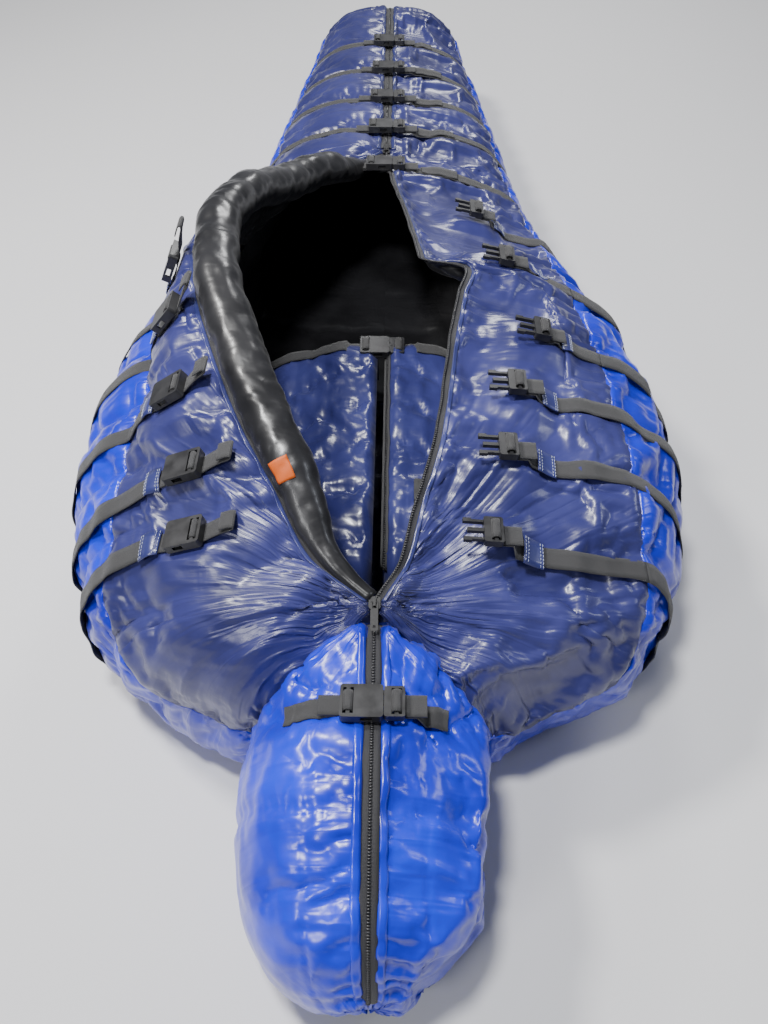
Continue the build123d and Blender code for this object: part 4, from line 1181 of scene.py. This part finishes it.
def stitch_line(path, up, length=0.0032, gap=0.0016, radius=0.00045):
    """Thread stitches along a path: small six-sided beads."""
    places = distance_along(path)
    starts = np.arange(gap, places[-1] - length, length + gap)
    points, faces = [], []
    for s in starts:
        ends = [np.array([np.interp(x, places, path[:, k]) for k in range(3)]) for x in (s, s + length)]
        run = (ends[1] - ends[0]) / (np.linalg.norm(ends[1] - ends[0]) + 1e-12)
        out = unit(up - run * (up @ run))
        cross = np.cross(run, out)
        base = sum(len(p) for p in points)
        for end, lift in zip((ends[0], (ends[0] + ends[1]) / 2, ends[1]), (0.0001, 0.0007, 0.0001)):
            ring = [end + out * lift + radius * (math.cos(a) * cross + math.sin(a) * out)
                    for a in np.radians(np.arange(0, 360, 90))]
            points.append(np.array(ring))
        for first in (base, base + 4):
            for i in range(4):
                j = (i + 1) % 4
                faces.append((first + i, first + j, first + j + 4, first + i + 4))
        faces += [(base + 3, base + 2, base + 1, base), (base + 8, base + 9, base + 10, base + 11)]
    return (np.concatenate(points), faces) if points else (np.zeros((0, 3)), [])


def join_data(name, parts):
    points, faces, start = [], [], 0
    for p, f in parts:
        points.append(p)
        faces += [tuple(k + start for k in face) for face in f]
        start += len(p)
    return mesh_object(name, np.concatenate(points), faces)


def stitch_tabs(tabs, side, name):
    """Two lines of pale thread across the ends of each tab."""
    parts = []
    for tab in tabs:
        up = unit(np.cross(tab[-1, 0] - tab[0, 0], tab[0, -1] - tab[0, 0]))
        for row in (1, 3, -4, -2):
            parts.append(stitch_line(tab[row] + up * 0.0004, up))
    flap_piece(join_data(f"{name}_tab_stitches", parts), side, "thread")


# ---------------------------------------------------------------- zips
def edge_band(grid, near, far, lift, count=4):
    """Strip along a grid's last column, between two distances inwards from it."""
    normals = blur(blur(grid_normals(grid, away_from_axis(grid)), 2, 0), 2, 1)
    inward = unit(blur(grid[:, -5] - grid[:, -1], 3))
    across = arc_columns(grid)
    distance = across[:, -1:] - across
    result = np.empty((len(grid), count, 3))
    for i in range(len(grid)):
        for j, want in enumerate(np.linspace(near, far, count)):
            if want <= 0:
                result[i, j] = grid[i, -1] + inward[i] * want + normals[i, -1] * lift
                continue
            for k in range(3):
                result[i, j, k] = np.interp(want, distance[i, ::-1], grid[i, ::-1, k])
            result[i, j] += normals[i, -2] * lift
    result = blur(result, 1)
    return face_out(result, normals[:, -1:])


def teeth(path, across, up, width, pitch=0.0032):
    """Coil of a zip: one small rounded block for each turn."""
    places = distance_along(path)
    points, faces = [], []
    for n, s in enumerate(np.arange(pitch / 2, places[-1], pitch)):
        o, a, u = (np.array([np.interp(s, places, f[:, k]) for k in range(3)]) for f in (path, across, up))
        run = np.cross(a, u)
        for x, z, r in ((-1, 0, 1), (-0.8, 1, 0.6), (0.8, 1, 0.6), (1, 0, 1)):
            for t in (-1, 1):
                points.append(o + a * x * width / 2 + u * z * 0.0019 + run * t * r * pitch * 0.36)
        b = 8 * n
        faces += [(b, b + 1, b + 3, b + 2), (b + 2, b + 3, b + 5, b + 4), (b + 4, b + 5, b + 7, b + 6)]
        faces += [(b, b + 2, b + 4, b + 6), (b + 7, b + 5, b + 3, b + 1), (b, b + 6, b + 7, b + 1)]
    return np.array(points), faces


def open_rows(grid):
    return grid[2 * CUTS[1]: 2 * CUTS[2] + 1]


def ridge(left, right, lift):
    """Middle line of a closed zip: between the two edges, just above them."""
    line = (left[:, -1] + right[:, -1]) / 2
    line[:, 0] = 0
    line = blur(line, 2)
    up = np.cross(np.array([1.0, 0, 0]), unit(np.gradient(line, axis=0)))
    inside = np.array([0, line[:, 1].mean(), 0.1])
    up *= np.where((up * (line - inside)).sum(1, keepdims=True) < 0, -1, 1)
    return line + up * lift, np.tile([1.0, 0, 0], (len(line), 1)), up


# Depth of a closed zip's tape below its middle line, from one edge to the other
TAPE_PROFILE = np.array([0.0014, 0, -0.0004, 0.0010, -0.0004, 0, 0.0014])


def closed_zip(pairs):
    """Tape and coil over the closed stretches of both zips."""
    tapes, coils = [], []
    for left, right in pairs:
        line, across, up = ridge(left, right, 0.0030)
        tape = line[:, None] + across[:, None] * np.linspace(-0.0100, 0.0100, 7)[None, :, None]
        tape = tape - up[:, None] * TAPE_PROFILE[None, :, None]
        tapes.append(face_out(tape, up[:, None]))
        coils.append(teeth(line - up * 0.0006, across, up, 0.0046))
    return tapes, coils


def outer_line(tape, edge):
    """Line of an open zip's coil: between the two columns of its tape furthest from the edge."""
    first, last = (np.linalg.norm(tape[:, k] - edge, axis=1).mean() for k in (0, -1))
    if first < last:
        return (tape[:, -1] + tape[:, -2]) / 2
    return (tape[:, 0] + tape[:, 1]) / 2


def flap_zip(side, name):
    """Tape, facing and coil of the open zip along one flap."""
    nodes = [f"{name}_flap_zip"]
    grid = open_rows(SHELL[side][0])
    tape = edge_band(grid, -0.009, 0.004, 0.0012)
    flap_piece(strips(f"{name}_flap_zip_tape", [tape], TAPE), side, "tape", nodes)
    facing = edge_band(grid, 0.001, 0.007, 0.0020)
    flap_piece(strips(f"{name}_flap_facing", [facing], FACING), side, "facing")
    line = outer_line(tape, grid[:, -1])
    across = unit(blur(tape[:, 0] - tape[:, -1], 2))
    up = np.cross(unit(np.gradient(blur(line, 2), axis=0)), across)
    up *= np.where(up[:, 2:] < 0, -1, 1)
    coil = join_data(f"{name}_flap_zip_coil", [teeth(line, across, up, 0.0034)])
    flap_piece(coil, side, "coil", nodes)


def make_zips():
    legs = [SHELL[s][0][2: 2 * CUTS[1] - 2] for s in (-1, 1)]
    heads = [SHELL[s][1][2:-6] for s in (-1, 1)]
    tapes, coils = closed_zip([legs, heads])
    dress(strips("closed_zip_tape", tapes, TAPE), "tape", replaces=["zip_tapes"])
    dress(join_data("closed_zip_coil", coils), "coil", replaces=["zip_coils"])
    low = [edge_band(SHELL[s][0][8: 2 * CUTS[1] - 2], 0.004, 0.014, 0.0016) for s in (-1, 1)]
    high = [edge_band(SHELL[s][1][3:-8], 0.004, 0.015, 0.0018) for s in (-1, 1)]
    dress(strips("leg_zip_facing", low, FACING), "facing")
    dress(strips("hood_zip_facing", high, FACING), "blue")
    for side, name in SIDES:
        flap_zip(side, name)


# ---------------------------------------------------------------- draft tube and label
def tube_frame():
    """Centre line of the draft tube, and the directions across it."""
    grid = open_rows(SHELL[-1][0])
    edge = blur(grid[:, -1], 3)
    out = unit(blur(grid[:, -1] - grid[:, -9], 6))
    y = edge[:, 1]
    swell = smooth((SLIDER_Y + 0.004 - y) / 0.15) * smooth((y - NECK_Y + 0.012) / 0.16)
    radius = 0.009 + (DRAFT_R - 0.009) * swell
    centre = edge + out * (radius * 0.96 + 0.004)[:, None]
    centre[:, 2] -= 0.35 * radius * (1 - swell)
    line = even(np.concatenate([blur(centre, 6), radius[:, None]], 1), 220)
    centre, radius = line[:, :3], line[:, 3]
    run = unit(np.gradient(centre, axis=0))
    side = unit(np.cross(run, UP))
    return centre, radius, side, np.cross(side, run)


def make_draft_tube():
    centre, radius, side, up = tube_frame()
    turns = np.linspace(0, 2 * math.pi, 41)[:-1]
    s = np.arange(len(centre))[:, None] * 0.0058
    t = turns[None]
    lumps = 1 + 0.04 * np.sin(s / 0.075 * 2 * math.pi + 0.8 * np.sin(t)) * np.abs(np.sin(s / 0.31)) ** 0.5
    lumps += 0.05 * noise(s / 0.060, np.cos(t) * 1.3 + 2, 3) + 0.02 * noise(s / 0.03, np.sin(t) * 2 + 5, 8)
    lumps -= 0.07 * creases(s / 0.030 + 0.5 * np.sin(t), np.cos(t) + 3, 4)
    r = radius[:, None] * np.clip(lumps, 0.7, 1.12)
    points = centre[:, None] + r[..., None] * (
        np.cos(t)[..., None] * side[:, None] + 0.92 * np.sin(t)[..., None] * up[:, None]
    )
    n = len(turns)
    i = np.arange(len(centre) * n).reshape(len(centre), n)
    j = np.roll(i, -1, 1)
    faces = np.stack([i[:-1], i[1:], j[1:], j[:-1]], -1).reshape(-1, 4)
    faces = [tuple(f) for f in faces] + [tuple(i[0]), tuple(i[-1, ::-1])]
    obj = mesh_object("draft_tube_cover", points.reshape(-1, 3), faces)
    tidy_normals(obj)
    flap_piece(obj, -1, "black", ["draft_tube"])
    make_label(centre, points)


def make_label(centre, points):
    """Plain cloth label sewn on the tube."""
    low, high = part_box("label")
    y = (low[1] + high[1]) / 2
    k = int(np.abs(centre[:, 1] - y).argmin())
    rows = slice(k - 2, k + 4)
    patch = points[rows, 4:10]
    out = unit(patch - centre[rows, None])
    top = finer(patch + out * 0.0016)
    obj = strips("plain_label", [face_out(top, finer(out))], 0.0010)
    dress(obj, "label", "left_flap", ["label"])


# ---------------------------------------------------------------- linings
def lining_points(side, ys, top):
    """Inner face of one half: round the sides, or across the closed top."""
    rows = []
    for y in ys:
        width, height, base = (float(between(PROFILE, y, k)) for k in (1, 2, 3))
        seam = seam_angle(y, width)
        u = np.linspace(0, 1, LINING_COLUMNS)
        if top:
            edge = share_angle(max(ZIP_HALF, hood_edge_x(y)) / width)
            angles = np.linspace(seam, edge, LINING_COLUMNS)
            depth = 0.013 + 0.034 * np.sin(math.pi * u) ** 0.6
        else:
            angles = np.linspace(-90, seam, LINING_COLUMNS)
            depth = 0.047 - 0.034 * smooth((u - 0.86) / 0.14)
        a = np.radians(angles)
        floor = FLOOR_TOP + max(base - 0.01, 0)
        waist = floor + WAIST * (height - floor)
        x = (width - depth) * np.abs(np.cos(a)) ** SIDE_POWER
        s = np.abs(np.sin(a))
        z = np.where(a >= 0, waist + (height - depth - waist) * s**TOP_POWER,
                     waist - (waist - floor) * s**BASE_POWER)
        if top:
            z -= 0.050 * smooth((NECK_Y - y) / 0.05) * smooth(1 - (x - hood_edge_x(y)) / 0.090)
        rows.append(np.stack([side * x, np.full(LINING_COLUMNS, y), z], 1))
    return np.stack(rows)


def quilted(grid, seed, spacing=0.115):
    """Push the lining inwards between its cross seams, and wrinkle it."""
    inward = grid_normals(grid, -away_from_axis(grid))
    y = grid[..., 1]
    across = arc_columns(grid)
    puff = 0.011 * np.abs(np.cos(y / spacing * math.pi)) ** 0.5
    to_seam = np.abs((y / spacing) % 1 - 0.5) * spacing
    move = puff + 0.0050 * seam_puckers(across, to_seam, 0.016, 0.030, seed)
    move += 0.004 * noise(across / 0.05, y / 0.05, seed + 4)
    return grid + inward * move[..., None]


def make_linings():
    sides, tops = [], []
    for side in (-1, 1):
        seed = 120 + side
        ys = even_rows(PROFILE, LINING_FOOT_Y, LINING_HOOD_Y, 0.009)
        sides.append(quilted(lining_points(side, ys, False), seed))
        for a, b in ((LINING_FOOT_Y, SLIDER_Y - 0.03), (NECK_Y + 0.02, -0.850)):
            ys = even_rows(PROFILE, a, b, 0.009)
            tops.append(quilted(lining_points(side, ys, True), seed + 3))
    for name, grids in (("side_lining", sides), ("top_lining", tops)):
        parts = []
        for g in grids:
            g[..., 2] = np.maximum(g[..., 2], 0.046)
            parts.append((g.reshape(-1, 3), [tuple(f) for f in faces_of(*g.shape[:2])]))
        dress(join_data(name, parts), "black", replaces=["lining"])


def make_flap_linings():
    """Black inner face of each flap, below its shell by the loft of the down."""
    for side, name in SIDES:
        grid = open_rows(SHELL[side][0])[:, SEAM:]
        v = np.linspace(0, 1, grid.shape[1])[None, :, None]
        depth = 0.004 + 0.010 * (1 - v) ** 2 + FLAP_LOFT * np.sin(math.pi * v**0.85) ** 0.6
        soft = blur(blur(grid, 2, 0), 2, 1)
        soft[:, -1] = grid[:, -1]
        normals = blur(blur(grid_normals(grid, away_from_axis(grid)), 4, 0), 3, 1)
        inner = soft - normals * depth
        inner += normals * (0.003 * noise(arc_columns(inner) / 0.05, inner[..., 1] / 0.04, 9))[..., None]
        obj = mesh_object(f"{name}_flap_inside", inner.reshape(-1, 3), faces_of(*inner.shape[:2]))
        flap_piece(obj, side, "black", [f"{name}_flap_lining"])


# ---------------------------------------------------------------- inner bag
def inner_half(side, spread):
    """Puffed upper panel of the inner bag, from its side to its opening."""
    ys = np.linspace(INNER_FOOT_Y, INNER_NECK_Y, 86)
    t = np.linspace(0, 1, 52)
    rows = []
    for y in ys:
        reach = INNER_SHARE * float(between(PROFILE, y, 1))
        end = smooth((INNER_FOOT_Y - y) / 0.06) * smooth((y - INNER_NECK_Y) / 0.05)
        x = reach + (spread - reach) * t
        z = 0.085 + (0.035 + 0.105 * np.sin(t * math.pi / 2) ** 0.7) * (0.25 + 0.75 * end)
        rows.append(np.stack([side * x, np.full(52, y), z], 1))
    return np.stack(rows)


def crumpled(grid, side):
    """Baffles and crumples of the inner bag's thin cloth."""
    up = grid_normals(grid, away_from_axis(grid))
    y, across = grid[..., 1], arc_columns(grid)
    baffle = np.abs(np.sin((y + 0.03 * np.sin(across * 14)) / 0.088 * math.pi))
    move = 0.012 * baffle**0.6
    to_line = np.arcsin(np.clip(baffle, 0, 1)) / math.pi * 0.088
    move += 0.006 * seam_puckers(across, to_line, 0.018, 0.03, 60 + side)
    to_edge = across[:, -1:] - across
    move += 0.006 * seam_puckers(-y, to_edge, 0.016, 0.04, 62 + side)
    rough = 0.008 if side < 0 else 0.003
    move += rough * noise(across / 0.06 + noise(y / 0.05, across / 0.07, 3), y / 0.055, 64 + side)
    move += rough * 0.5 * creases(across / 0.05 + y / 0.07, y / 0.06 - across / 0.09, 66 + side)
    return grid + up * (move * smooth(to_edge / 0.02 + 0.3))[..., None]


def make_inner_floor():
    """Inner bag's lower panel, lying on the base."""
    rows = []
    for y in np.linspace(INNER_FOOT_Y, INNER_NECK_Y, 60):
        x = np.linspace(-1, 1, 60) * 0.60 * float(between(PROFILE, y, 1))
        rows.append(np.stack([x, np.full(60, y), np.full(60, 0.072)], 1))
    top = np.stack(rows)
    top[..., 2] += 0.006 * noise(top[..., 0] / 0.06, top[..., 1] / 0.06, 77)
    low = top.copy()
    low[..., 2] = 0.056
    cover = closed_grid("inner_back_cover", top, low)
    dress(cover, "inner", replaces=["inner_back_panel"])


def make_inner_bag():
    """Panels, zip and straps of the inner bag; returns its straps."""
    halves = {}
    for side, name, spread in ((-1, "left", 0.007), (1, "right", 0.009)):
        grid = crumpled(inner_half(side, spread), side)
        halves[side] = grid
        below = grid.copy()
        v = np.linspace(0, 1, grid.shape[1])[None]
        below[..., 2] -= 0.006 + 0.026 * np.sin(math.pi * v) ** 0.6
        obj = closed_grid(f"inner_{name}_cover", grid, below)
        dress(obj, "inner", replaces=[f"inner_{name}_panel"])
    make_inner_floor()
    return inner_details(halves)


def inner_details(halves):
    """Zip and straps of the inner bag."""
    right = halves[1]
    tape = edge_band(right[6:-6], -0.004, 0.009, 0.0020)
    dress(strips("inner_zip_tape", [tape], TAPE), "tape")
    line = (tape[:, 0] + tape[:, -1]) / 2
    across = unit(tape[:, -1] - tape[:, 0])
    up = np.tile(UP, (len(line), 1))
    dress(join_data("inner_zip_coil", [teeth(line, across, up, 0.004)]), "coil")
    tops = []
    for side, grid in halves.items():
        bar = closed_bar(side, "inner_plug", INNER_BUCKLE_Y)
        top = lay(grid, INNER_BUCKLE_Y, 8, 50, lift=0.003)
        tops.append(strap_to_bar(top, bar, np.array([side, 0, 0.0]), UP, LOOP_BACK))
    tops.append(lay(right, INNER_STRAP_Y, 8, 38, lift=0.003))
    return tops


# ---------------------------------------------------------------- back and hang loop
BACKS = (       # name, sections, the two ends along y, CAD pieces
    ("back_panel", PROFILE, (1.1455, -0.856), ["back_shell", "back_fill"]),
    ("hood_back_panel", HOOD_PROFILE, (-0.852, -1.141), ["hood_back_shell"]),
)


def make_back():
    """Flat panels under the bag and the hood."""
    for name, table, ends, nodes in BACKS:
        rows = []
        for y in even_rows(table, *ends, 0.012):
            half = 0.49 * float(between(table, y, 1))
            base = 0.0012 + float(between(table, y, 3))
            rows.append(np.stack([np.linspace(-half, half, 40), np.full(40, y), np.full(40, base)], 1))
        low = np.stack(rows)
        low[..., 2] += 0.0010 * (1 + noise(low[..., 0] / 0.04, low[..., 1] / 0.04, 5))
        top = low + (0, 0, 0.010)
        dress(closed_grid(name, top, low), "navy", replaces=nodes)


def make_hang_loop():
    """Blue webbing loop at the foot."""
    low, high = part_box("hang_loop")
    y0, y1 = low[1] - 0.006, high[1]
    z, half = (low[2] + high[2]) / 2, (high[2] - low[2]) / 2 - 0.001
    turn = np.linspace(-math.pi / 2, math.pi / 2, 15)
    path = [(y0, z - half)] + [(y1 - half + half * math.cos(a), z + half * math.sin(a)) for a in turn]
    path = np.array(path + [(y0, z + half)])
    x = np.linspace(low[0], high[0], 5)
    top = np.stack([np.stack([x, np.full(5, y), np.full(5, h)], 1) for y, h in path])
    out = top - np.array([0, y1 - half, z])
    dress(strips("foot_loop", [face_out(top, out)], WEBBING), "loop", replaces=["hang_loop"])


side_webbing = closed_straps() + strap_tails() + torso_straps() + make_inner_bag()
dress(strips("side_straps", side_webbing, WEBBING), "webbing", replaces=["strap_webbing"])
make_zips()
make_draft_tube()
make_linings()
make_flap_linings()
make_back()
make_hang_loop()


# ---------------------------------------------------------------- camera, floor and lights
CAMERA_PLACE = (0.0194, -1.340, 1.180)
CAMERA_DIP, CAMERA_ROLL = math.radians(50.2), 0.0145
SENSOR_HEIGHT, LENS = 36, 31.18     # mm


def make_camera():
    camera = bpy.data.objects.new("camera", bpy.data.cameras.new("camera"))
    bpy.context.collection.objects.link(camera)
    camera.location = CAMERA_PLACE
    camera.rotation_euler = (math.pi / 2 - CAMERA_DIP, 0, CAMERA_ROLL)
    camera.data.sensor_fit = "VERTICAL"
    camera.data.sensor_height = SENSOR_HEIGHT
    camera.data.lens = LENS
    camera.data.clip_start = 0.05
    bpy.context.scene.camera = camera


def area_light(name, place, target, size, power, colour=(1, 1, 1)):
    light = bpy.data.lights.new(name, "AREA")
    light.shape = "ELLIPSE"
    light.size, light.size_y = size
    light.energy = power
    light.color = colour
    obj = bpy.data.objects.new(name, light)
    bpy.context.collection.objects.link(obj)
    obj.location = place
    obj.rotation_euler = (Vector(target) - Vector(place)).to_track_quat("-Z", "Y").to_euler()


def make_stage():
    floor = mesh_object("floor", [(-9, -9, 0), (9, -9, 0), (9, 9, 0), (-9, 9, 0)], [(0, 1, 2, 3)])
    material, _, _, shader = new_material("pale_floor")
    shader.inputs["Base Color"].default_value = (0.62, 0.62, 0.63, 1)
    shader.inputs["Roughness"].default_value = 0.8
    floor.data.materials.append(material)
    world = bpy.data.worlds.new("studio")
    world.use_nodes = True
    sky = world.node_tree.nodes["Background"].inputs
    sky["Color"].default_value = (0.80, 0.85, 1.0, 1)
    sky["Strength"].default_value = 0.16
    bpy.context.scene.world = world
    area_light("key", (-1.5, 0.2, 2.7), (0, -0.3, 0.2), (0.5, 0.5), 92, (1, 0.98, 0.95))
    area_light("foot_fill", (0.5, 2.6, 2.2), (0, 0.2, 0.2), (0.8, 0.6), 52)
    area_light("front_fill", (-1.1, -2.2, 1.7), (0, -0.8, 0.2), (0.6, 0.5), 20)
    area_light("right_fill", (2.2, -0.4, 1.6), (0, -0.3, 0.2), (0.5, 0.5), 10, (0.85, 0.9, 1))
    area_light("inside_light", (-0.30, -0.9, 2.3), (0.2, 0.12, 0.15), (0.3, 0.3), 62)


def dress_mouldings():
    """Better materials for the buckles, sliders and pull tabs, whose CAD shapes stay."""
    for obj in bpy.data.objects:
        node = obj.get("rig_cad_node", "")
        if "plug" in node or "socket" in node:
            obj.data.materials.clear()
            obj.data.materials.append(MAT["plastic"])
        elif "slider" in node:
            obj.data.materials.clear()
            obj.data.materials.append(MAT["metal"])


make_camera()
make_stage()
dress_mouldings()
